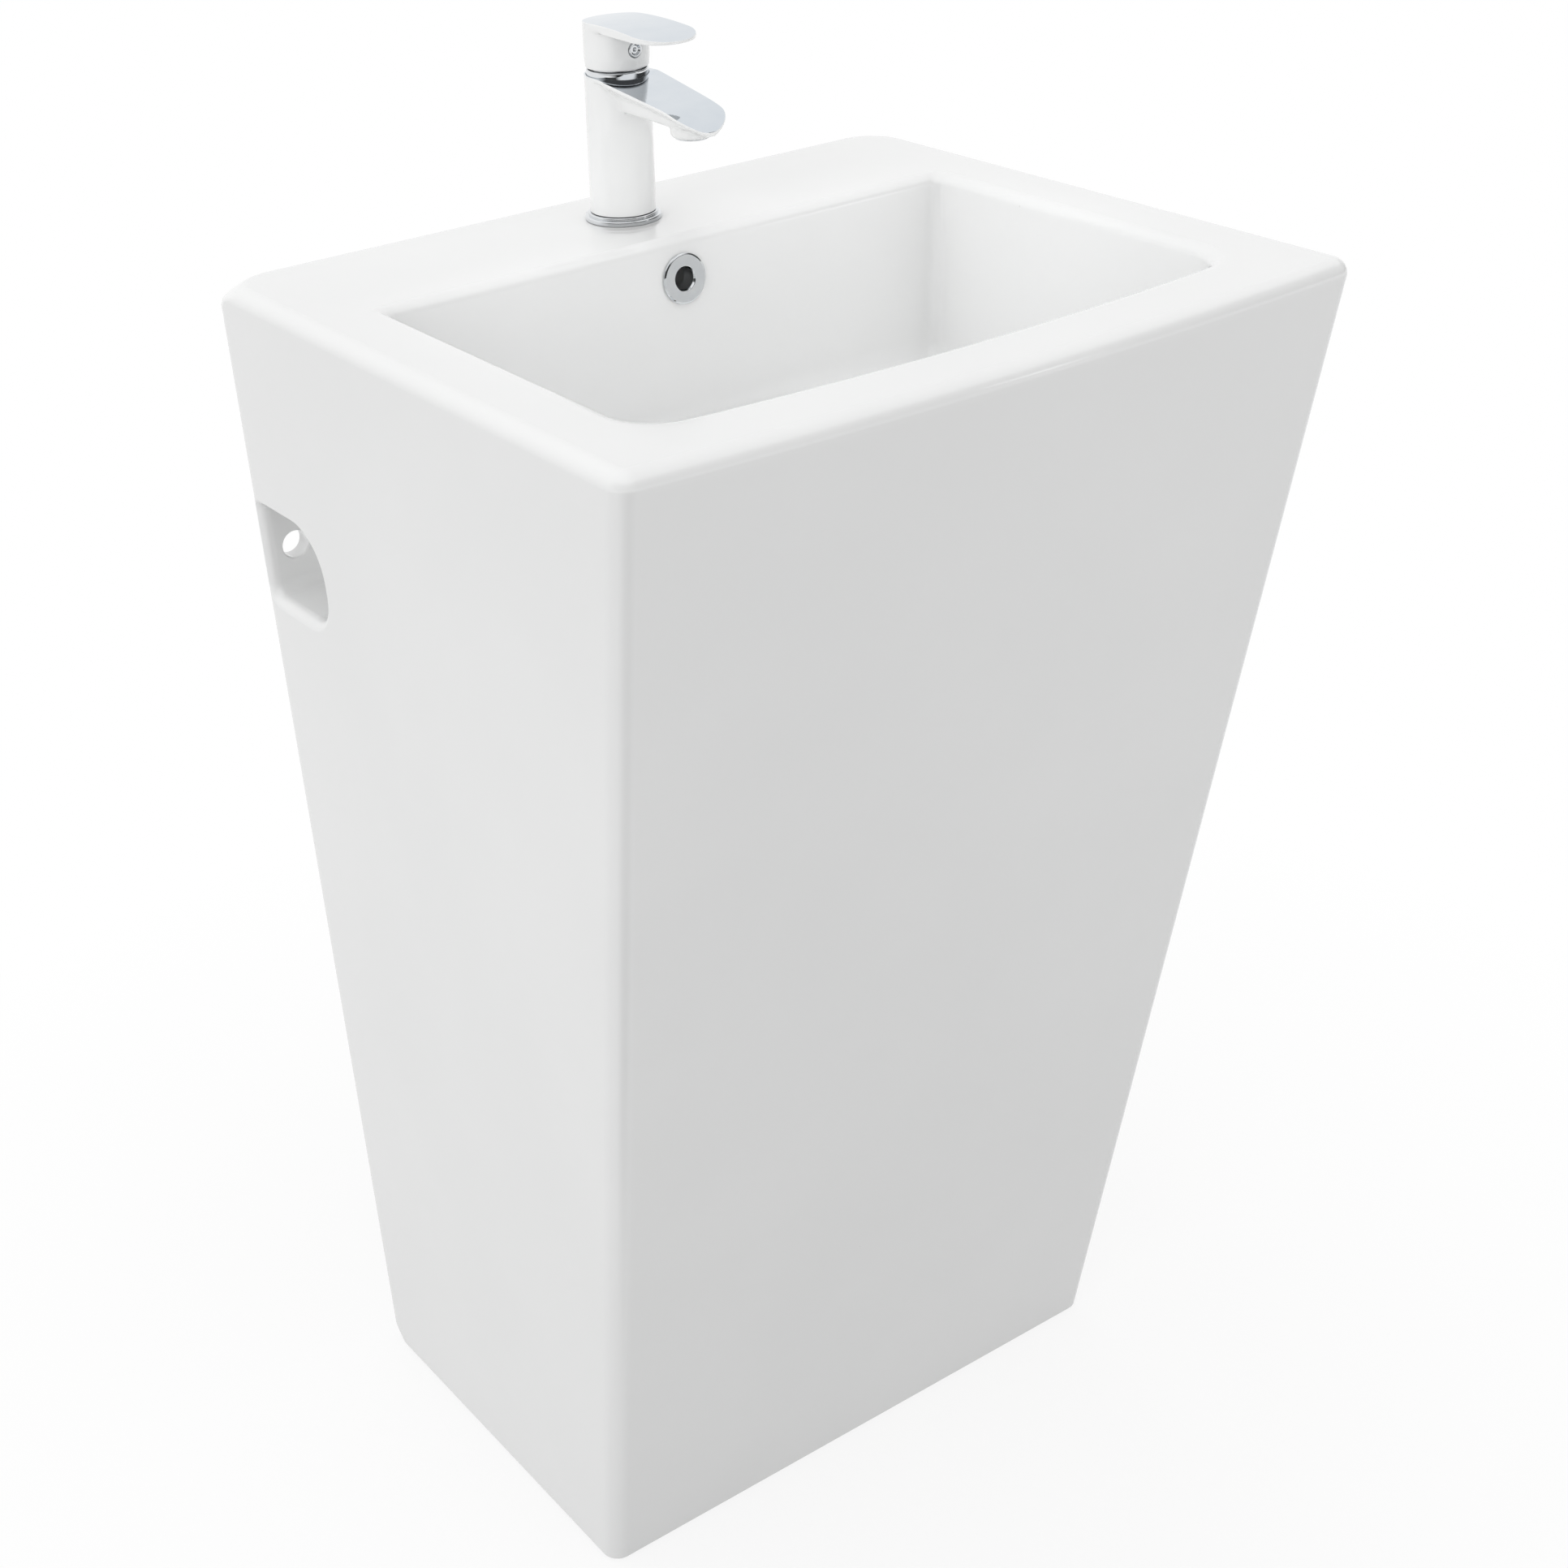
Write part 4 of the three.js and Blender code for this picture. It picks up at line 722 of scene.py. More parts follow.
def basin_pedestal():
    hollow = lofted("hollow", [
        skirt_section(0, SKIRT_WALL, -1),
        skirt_section(RIM - DECK_THICKNESS, SKIRT_WALL),
    ])
    boss = moved(disc("boss", DRAIN_SEAT + BOWL_WALL, -2 * BOWL_WALL - DUCT_GAP, 0), DRAIN)
    shells = [bowl_form(BOWL_WALL), duct_blocks(DUCT_WALL, "duct_shell"), boss]
    shells += [pocket_shell(side) for side in (-1, 1)]
    combined(hollow, shells)
    finished(hollow, GLAZE, BISQUE, chosen=1)
    tap_hole = moved(disc("tap_hole", TAP_HOLE, -DECK_THICKNESS - 1, 1), TAP)
    overflow_hole = moved(disc("overflow_hole", OVERFLOW_HOLE, -20, 10), overflow_place(), OVERFLOW_TURN)
    hollows = [bowl_form(0), duct_blocks(0, "duct"), drain_hollow(), service_opening(), tap_hole, overflow_hole]
    for side in (-1, 1):
        hollows.append(pocket_form(side))
        x = side * (half_width(POCKET_HEIGHT) - WALL_HOLE_INSET)
        hole = flared_bar("wall_hole", WALL_HOLE_RADIUS, WALL - FLANGE, WALL + 1, WALL_HOLE_EDGE)
        hollows.append(moved(hole, (x, 0, POCKET_HEIGHT)))
    body = pedestal_blank()
    finished(body, GLAZE, BISQUE)
    for cutter in hollows:
        finished(cutter, GLAZE)
    combined(body, [hollow, *hollows])
    placed(body, "sink", "glaze", "basin_pedestal", sharp=32)


# ---------- tap
def spout_top(forward):
    if forward < SLOPE_START:
        return TAP_TOP
    return TAP_TOP - SLOPE * (forward - SLOPE_START) - LIP_DROP * (forward / REACH) ** LIP_CURVE


def spout_underside(forward):
    """Underside of the web and then of the blade; the round nose is a piece of its own."""
    share = (max(forward, NOSE_END) - NOSE_END) / (REACH - NOSE_END)
    blade = spout_top(max(forward, NOSE_END)) - lerp(BLADE_ROOT, TIP_THICKNESS, share)
    return lerp(WEB_HEIGHT, blade, smoothstep(forward, NOSE_START, NOSE_END))


def spout_half(forward):
    tip_start = REACH - TIP_LENGTH
    taper = lerp(ROOT_HALF, TIP_HALF, min(forward / tip_start, 1))
    past = max((forward - tip_start) / TIP_LENGTH, 0) * TIP_CUT
    return lerp(TAP_RADIUS, taper, smoothstep(forward, 0, SHOULDER)) * math.sqrt(1 - past**2)


def spout_foot(forward):
    """Half width of the underside."""
    return lerp(WEB_HALF, spout_half(forward) * BLADE_TAPER, smoothstep(forward, NOSE_START - 10, NOSE_END))


def spout_section(forward):
    """Flat top with upright rims, and sides that draw in to the web or the nose."""
    half = spout_half(forward)
    foot = spout_foot(forward)
    top = spout_top(forward) + POLISH
    under = spout_underside(forward)
    thick = top - under
    rim = top - min(BLADE_RIM, thick / 2)
    knee = (lerp(foot, half, 1 / 3), lerp(under, rim, 2 / 3))
    right = [
        (foot, under, min(2.5, foot / 2, thick / 3)),
        (*knee, min(6, thick / 3)),
        (half, rim, min(1.2, thick / 4)),
        (half, top, min(0.8, thick / 4)),
    ]
    left = [(-x, z, radius) for x, z, radius in reversed(right)]
    return [Vector((x, -forward, z)) for x, z in rounded(right + left, 0)]


def polished(obj, cutter):
    """Cuts a lacquered piece's top down to its bare polished metal."""
    finished(obj, LACQUER, POLISHED)
    finished(cutter, LACQUER, POLISHED, chosen=1)
    combined(obj, [cutter])


def spout_stations():
    return [REACH * math.sin(step / 110 * math.pi / 2) for step in range(111)]


def above(forwards, top, clearance):
    """Everything above a top whose height follows from the distance forward."""
    rings = []
    for forward in forwards:
        low = top(forward) + clearance
        corners = [(-ABOVE_HALF, low), (ABOVE_HALF, low), (ABOVE_HALF, ABOVE_TOP), (-ABOVE_HALF, ABOVE_TOP)]
        rings.append([Vector((x, -forward, z)) for x, z in corners])
    return lofted("above", rings)


def above_spout(clearance):
    forwards = [-2 * TAP_RADIUS, 0, *spout_stations()[1:], REACH + 5]
    return above(forwards, lambda forward: spout_top(min(forward, REACH)), clearance)


def front_bar(name, radius, far, near):
    """Round bar at the index plug's height, between two distances in front of the tap's axis."""
    return moved(disc(name, radius, near, far, 48), (0, 0, PLUG_HEIGHT), TO_FRONT)


def spout_blending(point):
    """Strong where the spout springs from the body, weaker round the nose, none at the rims."""
    below = smoothstep(spout_top(-point.y) - point.z, 3, 7) * smoothstep(point.z, 40, 52)
    return below * lerp(1, 0.15, smoothstep(-point.y, 40, 62))


def lever_blending(point):
    """Where the blade springs from the cap."""
    near = 1 - smoothstep(abs(math.hypot(point.x, point.y) - LEVER_RADIUS), 2, 6)
    return near * smoothstep(lever_top(-point.y) - point.z, 1.5, 4) * smoothstep(point.z, 108, 114)


def tap_body():
    post = disc("post", TAP_RADIUS, 30, LEVER_TOP, 128)
    body = lofted("tap_shell", [spout_section(forward) for forward in spout_stations()])
    nose = turned("nose", [(0, NOSE_HEIGHT), (NOSE_RADIUS, NOSE_HEIGHT, 2.5), (NOSE_RADIUS, 82), (0, 82)], 0, 96)
    combined(body, [post, moved(nose, (0, -OUTLET, 0))], "UNION")
    combined(body, [above_spout(POLISH)])
    melted(body, 0.4, 9, spout_blending)
    lower = turned("tap_foot", [
        (0, 1.8), (TAP_HOLLOW, 1.8), (TAP_HOLLOW, 5.3), (TAP_RADIUS, 5.3, 0.5), (TAP_RADIUS, 40), (0, 40),
    ], 0, 128)
    combined(body, [block("cut_low", (-60, -60, 20), (60, 60, TAP_JOIN))])
    combined(lower, [block("cut_high", (-60, -60, TAP_JOIN), (60, 60, 50))])
    combined(body, [lower], "UNION")
    hollows = [
        disc("bore", TAP_BORE, SHANK_TOP, 130),
        disc("collar_seat", 19.9, 87.7, 130),
        moved(disc("outlet", AERATOR_RADIUS, 60, 74.8), (0, -OUTLET, 0)),
        moved(disc("stud_hole", 4.2, 0, PORT_TOP, 32), (0, 12, 0)),
    ]
    for side in (-1, 1):
        hollows.append(moved(disc("port", 4.3, 0, PORT_TOP, 32), (6.5 * side, -4, 0)))
        hollows.append(moved(disc("waterway", 3.2, 10, 50, 32), (6.5 * side, -4, 0)))
    combined(body, hollows)
    polished(body, above_spout(0))
    placed(moved(body, TAP), "sink", "white_lacquer", "tap_body", sharp=45)


def lever_top(forward):
    return LEVER_TOP - LEVER_TIP_DROP * ((forward - LEVER_CROWN) / (LEVER_REACH - LEVER_CROWN)) ** 2


def above_lever(clearance):
    return above(range(-42, 72, 2), lever_top, clearance)


def lever_ring(inset, heights, rise=0):
    """Outline of the blade, drawn in by inset; heights gives a height for a distance forward."""
    points = []

    def reach(x, forward):
        points.append(Vector((x, -forward, heights(forward) + rise)))

    tip, root = (LEVER_HALF, LEVER_REACH - LEVER_HALF), (LEVER_RADIUS, 0)
    for side, (radius, middle), (next_radius, next_middle) in ((1, tip, root), (-1, root, tip)):
        for sin, cos in arc(40, 180):
            reach(-side * (radius - inset) * cos, middle + side * (radius - inset) * sin)
        for step in range(1, 16):
            half = lerp(radius, next_radius, step / 16) - inset
            reach(side * half, lerp(middle, next_middle, step / 16))
    return points


def lever_under(forward):
    share = min(max((forward + LEVER_RADIUS) / (LEVER_REACH + LEVER_RADIUS), 0), 1)
    return lerp(LEVER_TOP - LEVER_ROOT_THICKNESS, LEVER_TOP - LEVER_TIP_DROP - LEVER_TIP_THICKNESS, share)


def lever_blade():
    """Blade with rounded edges, a little higher than its polished top."""
    insets = (2.5, 5, 8, 11, 15, 19)
    sections = [lever_ring(inset, lever_under) for inset in reversed(insets)]
    for sin, cos in arc(FILLET):
        sections.append(lever_ring(LEVER_LOWER_EDGE * (1 - sin), lever_under, LEVER_LOWER_EDGE * (1 - cos)))
    for sin, cos in arc(FILLET, first=1):
        sections.append(lever_ring(LEVER_EDGE * (1 - cos), lever_top, POLISH - LEVER_EDGE * (1 - sin)))
    sections += [lever_ring(inset, lever_top, POLISH + inset / 5) for inset in insets]
    return lofted("lever_shell", sections)


def lever_handle():
    cap = turned("cap", [
        (0, LEVER_BOTTOM), (LEVER_FOOT, LEVER_BOTTOM, 0.7), (LEVER_RADIUS, LEVER_BOTTOM + LEVER_FOOT_HEIGHT, 6),
        (LEVER_RADIUS, LEVER_TOP - 3), (0, LEVER_TOP - 3),
    ], 0, 2 * ROUND)
    handle = melted(combined(lever_blade(), [cap], "UNION"), 0.35, 7, lever_blending)
    slot = 4.3  # half width of the square hole on the cartridge's stem
    combined(handle, [
        disc("cavity", LEVER_CAVITY, 90, LEVER_CAVITY_TOP),
        block("stem_slot", (-slot, -slot, 100), (slot, slot, 112.3)),
        front_bar("plug_seat", PLUG_RADIUS + SEAT, LEVER_RADIUS + 2, LEVER_RADIUS - 3.3),
        front_bar("grub_hole", 2.7, LEVER_RADIUS, 3.3),
    ])
    polished(handle, above_lever(0))
    placed(moved(handle, TAP), "lever", "white_lacquer", "lever_handle", sharp=45)


def base_ring():
    bore, low, step = 17.3, 0.3, 22.4
    ring = turned("base_ring", [
        (bore, low), (24.5, low, 0.3), (24.5, 3.2, 1.2), (step, 3.2, 0.15), (step, 5, 0.8), (bore, 5),
    ], 0.1, 160)
    groove = [(bore + 0.6, 0.2), (step, 0.2), (step, 2.1), (bore + 0.6, 2.1)]
    combined(ring, [turned("groove", groove, 0)])
    placed(moved(ring, TAP), "sink", "chrome", "tap_base_ring")


def collar_ring():
    bore, neck, rim, lip = 16.2, 18.6, 19.6, 17.3
    ring = turned("collar", [
        (bore, 85.6), (neck, 85.6), (neck, 88), (rim, 88, 0.6), (rim, 94.5, 1), (lip, 94.5, 0.3), (lip, 96.2, 0.3),
        (bore, 96.2),
    ], 0.1, 160)
    placed(moved(ring, TAP), "sink", "chrome", "collar_ring")


def index_plug():
    back, front = LEVER_RADIUS - 3, LEVER_RADIUS + SEAT
    plug = turned("index_cap", [
        (0, back), (PLUG_RADIUS, back, 0.3), (PLUG_RADIUS, front, 0.9), (PLUG_RADIUS - 1.3, front, 0.3),
        (PLUG_RADIUS - 2.3, front - 1.2, 0.3), (PLUG_RADIUS - 3.3, front - 1.2, 0.4), (0, front - 0.2),
    ], 0, 64)
    moved(plug, (0, 0, PLUG_HEIGHT), TO_FRONT)
    placed(moved(plug, TAP), "lever", "chrome", "index_plug")


def overflow_ring():
    sleeve = 11.2
    ring = turned("overflow", [
        (OVERFLOW_BORE, -9), (sleeve, -9), (sleeve, 0.3), (OVERFLOW_RADIUS, 0.3, 0.1), (OVERFLOW_RADIUS, 1.6, 0.7),
        (OVERFLOW_RADIUS - 1.2, 2.2, 0.8), (OVERFLOW_BORE + 0.9, 2.0, 0.7), (OVERFLOW_BORE, 0.6, 0.4),
    ], 0.1, 128)
    placed(moved(ring, overflow_place(), OVERFLOW_TURN), "sink", "chrome", "overflow_ring")


def size_of(node, origin=DRAIN):
    """Lowest and highest corner of a CAD node measured from a place."""
    low, high = node_box(node)
    return low - origin, high - origin


def jet_grid(name, radius, bottom, top):
    """Round insert with one jet in the middle and two rings of jets round it."""
    plate = turned(name, [(0, bottom), (radius, bottom, 0.4), (radius, top, 0.2), (0, top)], 0, 64)
    holes = []
    for ring, count in ((0, 1), (0.42 * radius, 6), (0.78 * radius, 12)):
        for spoke in range(count):
            angle = math.tau * spoke / count
            hole = disc("jet", 0.75, bottom - 1, top + 1, 16)
            holes.append(moved(hole, (ring * math.cos(angle), ring * math.sin(angle), 0)))
    return combined(plate, holes)


def aerator():
    low, high = size_of("aerator_housing", TAP)
    place = TAP + Vector((0, -OUTLET, 0))
    radius = AERATOR_RADIUS - SEAT
    inner = radius - AERATOR_WALL
    outline = [(inner, low.z), (radius, low.z, 0.5), (radius, high.z, 0.2), (inner, high.z)]
    housing = turned("aerator_sleeve", outline, 0.2, 96)
    placed(moved(housing, place), "sink", "chrome", "aerator_housing")
    low, high = size_of("aerator_insert", TAP)
    insert = jet_grid("aerator_grid", inner - SEAT, low.z, high.z)
    placed(moved(insert, place), "sink", "grey_plastic", "aerator_insert")


def drain_flange():
    sleeve = WASTE_RADIUS - WASTE_WALL - SEAT
    bore, rest, lip = 16.9, -0.2, 1.6
    flange = turned("drain_dish", [
        (bore, -9), (sleeve, -9, 0.3), (sleeve, rest, 0.2), (32, rest, 0.2), (32, lip, 1.2), (24.2, lip, 0.9),
        (22.6, 0.2, 1.5), (bore, -2.5, 1),
    ], 0, 128)
    placed(moved(flange, DRAIN), "sink", "chrome", "drain_flange")


def drain_plug():
    under = size_of("drain_plug")[0].z + 6
    cap = turned("plug_cap", [
        (0, under - 6), (6, under - 6, 0.4), (6, under, 0.4), (29.7, under, 0.3), (30.5, under + 0.8, 0.5),
        (30.5, under + 1.7, 0.7), (20.4, under + 4.4, 40), (0, under + 5.2),
    ], 0, 128)
    combined(cap, [disc("spindle_hole", 3.3, under - 7, under - 1, 32)])
    placed(moved(cap, DRAIN), "plug", "chrome", "drain_plug")


def round_piece(node, corners, fillet=0.4, facets=96, place=DRAIN, turn=None, shape=None, slot="white_plastic"):
    piece = turned(node + "_fine", corners, fillet, facets, shape)
    placed(moved(piece, place, turn), "sink", slot, node)


def slip_nut(node, thread, upward, place=DRAIN, turn=None):
    """Nut turned by hand; upward if its open skirt comes after its shoulder along its axis."""
    low, high = [corner.y if turn else corner.z for corner in size_of(node, place)]
    shoulder, skirt = (low, high) if upward else (high, low)
    inward = math.copysign(1, skirt - shoulder)
    rest = shoulder + 3 * inward
    grips = sorted((shoulder + 0.5 * inward, skirt - inward))
    round_piece(node, [
        (PIPE_HOLE, shoulder, 0.4), (NUT_RADIUS, shoulder, 1.2), (NUT_RADIUS, skirt, 0.8), (thread, skirt, 0.3),
        (thread, rest, 0.2), (PIPE_HOLE, rest, 0.2),
    ], 0.3, 192, place, turn, gripped(12, 1.4, *grips, NUT_RADIUS))


def gripped(count, depth, low, high, radius):
    """Shape of a nut turned by hand: rounded grips round its outside."""
    def shape(x, z, angle):
        if x < radius - 1.5 or not low <= z <= high:
            return x
        return x - depth * (0.5 - 0.5 * math.cos(count * angle)) ** 3
    return shape


def trap():
    socket, inner = 20.9, 27
    head_low, head_high = size_of("trap_head")
    bottom, top = head_low.z, -125
    stub_height = top - 24
    outlet = DRAIN + Vector((0, 0, stub_height))
    low, high = size_of("trap_inlet_tube")
    flare = WASTE_RADIUS - SEAT
    round_piece("trap_inlet_tube", [
        (PIPE_BORE, low.z), (PIPE_RADIUS, low.z), (PIPE_RADIUS, high.z - 1.5, 0.8), (flare, high.z - 1.5, 0.3),
        (flare, high.z, 0.3), (PIPE_BORE, high.z),
    ])
    slip_nut("trap_inlet_nut", WASTE_RADIUS + SEAT, True)
    shell = turned("trap_shell", [
        (inner, bottom), (30, bottom, 0.4), (30, top, 4), (socket, top, 1.5), (socket, top + 16, 0.5),
        (PIPE_HOLE, top + 16, 0.5), (PIPE_HOLE, top - 3), (inner, top - 3, 2),
    ], 0)
    end = head_high.y
    stub = turned("stub", [(0, 5), (socket, 5), (socket, end, 0.6), (0, end)], 0)
    moved(stub, (0, 0, stub_height), TO_WALL)
    combined(stub, [disc("clear", inner + 1, bottom - 5, top + 5)])
    combined(shell, [stub], "UNION")
    passage = disc("passage", PIPE_HOLE, 20, end + 1)
    combined(shell, [moved(passage, (0, 0, stub_height), TO_WALL)])
    placed(moved(shell, DRAIN), "sink", "white_plastic", "trap_head", sharp=35)
    low = size_of("trap_cup")[0].z
    rest, skirt, grip = bottom - 1.8, bottom + 10, 33.5
    round_piece("trap_cup", [
        (0, low), (30, low, 7), (30, rest - 10, 0.6), (grip, rest - 6.8, 1), (grip, skirt, 0.8),
        (30.3, skirt, 0.3), (30.3, rest, 0.2), (inner, rest, 0.3), (inner, low + 3, 5), (0, low + 3),
    ], 0, 240, shape=gripped(24, 0.8, rest - 7, skirt - 0.9, grip))
    slip_nut("trap_socket_nut", socket + SEAT, False)
    slip_nut("trap_outlet_nut", socket + SEAT, False, outlet, TO_WALL)
    low, high = size_of("trap_outlet_tube", outlet)
    round_piece("trap_outlet_tube", [
        (PIPE_BORE, low.y), (PIPE_RADIUS, low.y), (PIPE_RADIUS, high.y), (PIPE_BORE, high.y),
    ], 0.3, 96, outlet, TO_WALL)
    low, high = size_of("wall_rosette", outlet)
    round_piece("wall_rosette", [
        (PIPE_HOLE, low.y), (19.3, low.y, 1), (28, low.y + 3, 10), (35, high.y - 3, 2.5), (35, high.y, 0.3),
        (33, high.y), (19.3, low.y + 2.4, 8), (PIPE_HOLE, low.y + 2.4),
    ], 0.2, 128, outlet, TO_WALL)


def waste_body():
    bore = WASTE_RADIUS - WASTE_WALL
    low, high = size_of("waste_body")
    grooves = [(WASTE_RADIUS - 0.5 * (step % 2), low.z + 1 + step * 0.9, 0) for step in range(56)]
    tube = turned("waste_tube", [
        (bore, low.z, 0.2), (WASTE_RADIUS, low.z, 0.2), *grooves, (WASTE_RADIUS, high.z, 0.2), (bore, high.z, 0.2),
    ], 0, 96)
    guide = block("guide", (-2.5, -bore - 1, -26), (2.5, bore + 1, -20))
    hub = turned("hub", [(0, -26), (6, -26, 0.4), (6, -20, 0.4), (0, -20)], 0, 48)
    combined(tube, [guide, hub], "UNION")
    cuts = [disc("eye", 3.3, -27, -19, 32)]
    for x in (-WASTE_RADIUS, WASTE_RADIUS):
        cuts.append(block("window", (x - 4.2, -7, -24), (x + 4.2, 7, -10)))
    combined(tube, cuts)
    placed(moved(tube, DRAIN), "sink", "brass", "waste_body", sharp=35)


def plug_spring():
    """Coil with closed ends, made at the CAD spring's length; the real coil shortens with the plug's travel."""
    low, high = size_of("plug_spring")
    wire, coil, turns, steps = 0.6, 4.9, 7, 28
    closed = 2 * wire + 0.1
    bottom, top = low.z + wire, high.z - wire
    rings = []
    for step in range(turns * steps + 1):
        turn = step / steps
        height = lerp(bottom + closed, top - closed, (turn - 1) / (turns - 2))
        if turn < 1:
            height = bottom + closed * turn
        elif turn > turns - 1:
            height = top - closed * (turns - turn)
        outward = Vector((math.cos(math.tau * turn), math.sin(math.tau * turn), 0))
        centre = outward * coil + Vector((0, 0, height))
        around = [math.tau * facet / 12 for facet in range(12)]
        rings.append([centre + outward * wire * math.cos(a) + Vector((0, 0, wire * math.sin(a))) for a in around])
    spring = placed(moved(lofted("spring", rings), DRAIN), "sink", "steel", "plug_spring")
    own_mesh(spring)


def back_nut():
    low, high = size_of("waste_back_nut")
    half_across = 28  # half the width across the flats
    corner = 2 * half_across / math.sqrt(3)
    thread = WASTE_RADIUS + SEAT

    def hexagon(x, z, angle):
        if x < 24:
            return x
        around = (angle + math.pi / 6) % (math.pi / 3) - math.pi / 6
        return min(x, half_across / math.cos(around))

    round_piece("waste_back_nut", [
        (thread, low.z + 0.8), (thread + 0.8, low.z), (half_across + 0.2, low.z), (corner, low.z + 2),
        (corner, high.z - 2), (half_across + 0.2, high.z), (thread + 0.8, high.z), (thread, high.z - 0.8),
    ], 0.1, 144, shape=hexagon, slot="brass")


for make_piece in (
    basin_pedestal, tap_body, lever_handle, base_ring, collar_ring, index_plug, overflow_ring, aerator,
    drain_flange, drain_plug, plug_spring, waste_body, back_nut, trap,
):
    make_piece()

for row in frame["record"]["subparts"]:
    materials = frame["nodes"][row["node"]].data.materials
    materials.clear()
    materials.append(FINISHES[row["material_slot"]])


# ---------- studio
def shown_rays(tree, path, *others):
    """1 for the rays that show the background: the camera's and the others named."""
    total = path.outputs["Is Camera Ray"]
    for name in others:
        total = maths(tree, "MAXIMUM", total, path.outputs[name])
    return total


def blended(tree, factor, first, second):
    node = add(tree, "ShaderNodeMixShader", Fac=factor)
    for socket, shader in zip(node.inputs[1:], (first, second)):
        put(tree, socket, shader.outputs[0])
    return node


def painted_shade_sector(tree, path):
    """Part of the studio floor painted black for glossy rays only: a painted shade that the upright edge between
    the left side and the front mirrors as a painted dark reflection.
    """
    corner = vectors(tree, "SUBTRACT", place_of(tree), SECTOR_TIP).outputs["Vector"]
    direction = vectors(tree, "NORMALIZE", corner).outputs["Vector"]
    reach = vectors(tree, "LENGTH", corner).outputs["Value"]
    inside = maths(tree, "MULTIPLY", path.outputs["Is Glossy Ray"], ranged(tree, reach, 0, 1, 0, 0.3))
    for inward in SECTOR_SIDES:
        side = vectors(tree, "DOT_PRODUCT", direction, inward).outputs["Value"]
        inside = maths(tree, "MULTIPLY", inside, ranged(tree, side, 0, 1, -0.25, 0.4))
    return inside


def make_floor():
    bm = bmesh.new()
    bmesh.ops.create_grid(bm, x_segments=8, y_segments=8, size=6)
    floor = object_from("floor", bm)
    floor.location.z = -0.0005
    material, tree, shader = new_material("studio_floor")
    path = add(tree, "ShaderNodeLightPath")
    tint = ranged(tree, noise(tree, 1.5, 2), 0, 1)
    pale = between(tree, tint, (0.38, 0.38, 0.38), (0.42, 0.42, 0.42))
    # painted shade: in this sector the floor is painted black for glossy rays and loses its white glow, so the
    # basin's upright edge shows a painted dark reflection
    dark = painted_shade_sector(tree, path)
    base = between(tree, dark, pale, (0.01, 0.01, 0.01))
    base = between(tree, path.outputs["Is Camera Ray"], base, (0.95, 0.95, 0.95))
    feed(tree, shader, Base_Color=base, Roughness=0.9, Specular_IOR_Level=0.2)
    white = add(tree, "ShaderNodeEmission", Strength=1.0)
    distance = vectors(tree, "LENGTH", place_of(tree)).outputs["Value"]
    share = ranged(tree, distance, 0.82, 1, 0.35, 0.95)
    shown = maths(tree, "MULTIPLY", share, shown_rays(tree, path, "Is Glossy Ray", "Is Transmission Ray"))
    seen = maths(tree, "MULTIPLY", shown, ranged(tree, dark, 1, 0, 0, 1))
    feed(tree, tree.nodes["Material Output"], Surface=blended(tree, seen, shader, white).outputs[0])
    floor.data.materials.append(material)


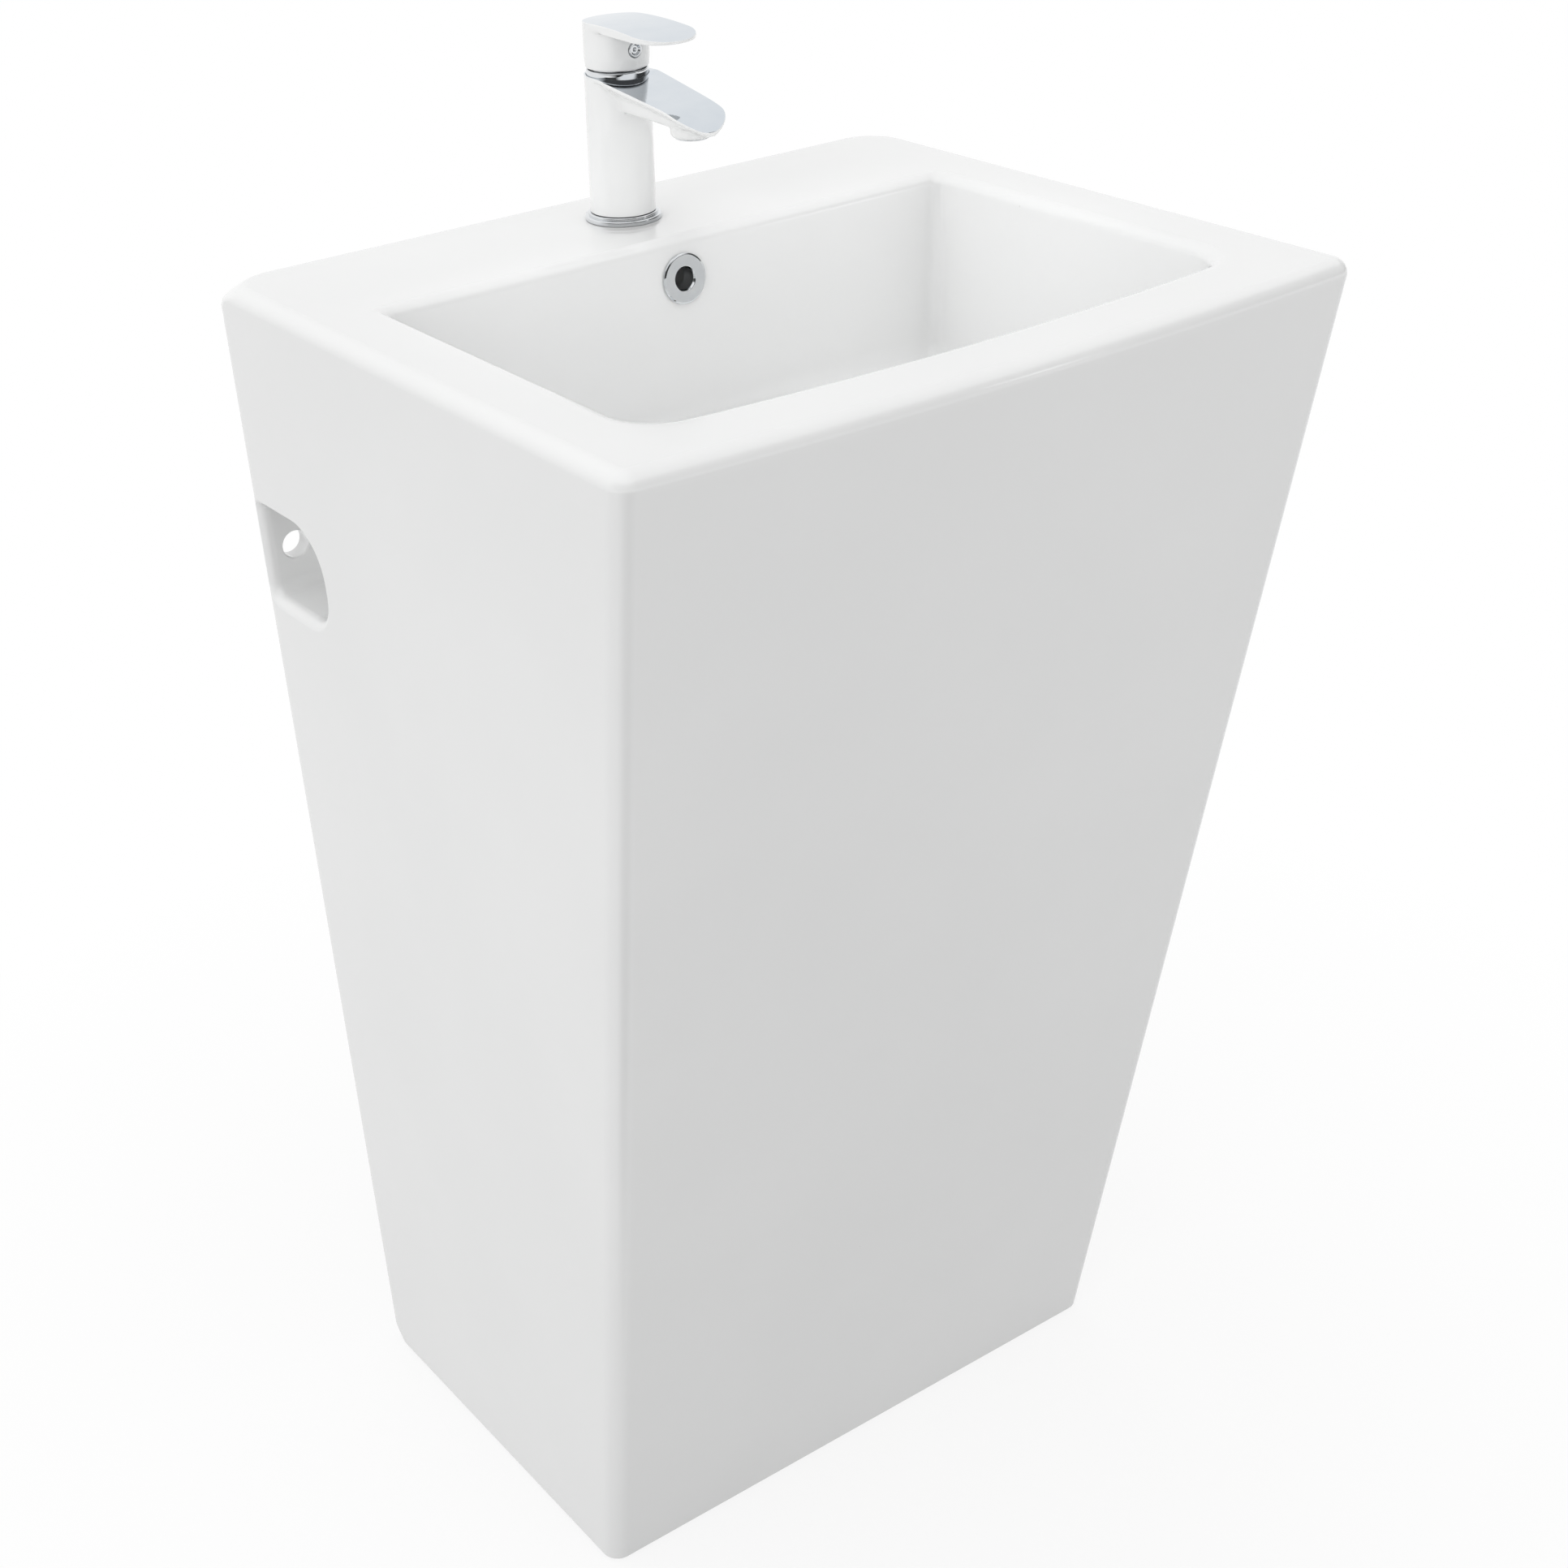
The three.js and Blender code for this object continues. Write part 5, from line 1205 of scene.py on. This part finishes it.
def make_world():
    """Plain light all round; polished pieces mirror a band of levels from below to above."""
    world = bpy.data.worlds.new("studio")
    bpy.context.scene.world = world
    world.use_nodes = True
    tree = world.node_tree
    ambient = feed(tree, tree.nodes["Background"], Color=(1, 1, 1, 1), Strength=AMBIENT)
    shown = add(tree, "ShaderNodeBackground", Color=(1, 1, 1, 1), Strength=1)
    direction = add(tree, "ShaderNodeTexCoord").outputs["Generated"]
    parts = add(tree, "ShaderNodeSeparateXYZ", Vector=direction)
    band = add(tree, "ShaderNodeValToRGB", Fac=ranged(tree, parts.outputs["Z"], 0, 1, -1, 1))
    elements = band.color_ramp.elements
    while len(elements) < len(MIRRORED_STOPS):
        elements.new(0.5)
    for element, (place, level) in zip(elements, MIRRORED_STOPS):
        element.position = place
        element.color = (level, level, level, 1)
    back = ranged(tree, parts.outputs["Y"], 1, 0, -0.2, 0.4)
    sky = between(tree, back, (1, 1, 1), band.outputs["Color"])
    mirrored = add(tree, "ShaderNodeBackground", Color=sky)
    path = add(tree, "ShaderNodeLightPath")
    glossy = blended(tree, path.outputs["Is Glossy Ray"], ambient, mirrored)
    seen = blended(tree, shown_rays(tree, path, "Is Transmission Ray"), glossy, shown)
    feed(tree, tree.nodes["World Output"], Surface=seen.outputs[0])


def light(kind, name, place, aim=(0, 0, 0), mirrored=False, **settings):
    """Soft lamp turned from its place to its aim; a sun's place only gives its direction."""
    data = bpy.data.lights.new(name, kind)
    set_all(data, **settings)
    turn = (Vector(aim) - Vector(place)).to_track_quat("-Z", "Y").to_euler()
    lamp = object_of(name, data)
    set_all(lamp, visible_glossy=mirrored, visible_camera=False, location=place, rotation_euler=turn)


def make_camera():
    data = bpy.data.cameras.new("camera")
    set_all(data, lens=55.86, sensor_width=36, shift_x=0.1118)
    camera = object_of("camera", data)
    turn = Matrix.Rotation(math.radians(-33.32), 4, "Z")
    tilt = Matrix.Rotation(math.radians(90 - 28.65), 4, "X")
    roll = Matrix.Rotation(math.radians(-2.98), 4, "Z")
    camera.matrix_world = Matrix.Translation((-0.8691, -1.1126, 1.2786)) @ turn @ tilt @ roll
    bpy.context.scene.camera = camera


AMBIENT = 0.74
MIRRORED_STOPS = [(0.0, 1.0), (0.48, 1.0), (0.50, 0.05), (0.75, 0.08), (0.81, 1.0), (1.0, 1.0)]
SECTOR_TIP = (-0.24, -0.20, 0)  # near the basin's front left corner
SECTOR_SIDES = ((-0.97, -0.26, 0), (0.5, -0.87, 0))  # directions into the sector from its two edges

make_floor()
make_world()
make_camera()
light("SUN", "overhead", (-0.1, 0.42, 0.9), angle=math.radians(60), energy=0.44)
light("SUN", "side", (-0.93, -0.25, 0.27), angle=math.radians(40), energy=0.76)
light("SUN", "front", (0.45, -0.88, 0.15), angle=math.radians(40), energy=0.30)
light("SPOT", "tap", (1.0, -1.1, 1.1), (0, 0.1, 0.90), mirrored=True,
      spot_size=math.radians(14), spot_blend=1, shadow_soft_size=0.25, energy=5)
light("AREA", "bowl", (0, -0.09, 1.25), (0, 0.02, 0.75),
      shape="RECTANGLE", size=0.38, size_y=0.16, spread=math.radians(20), energy=0.04)
bpy.context.scene.view_settings.view_transform = "Standard"
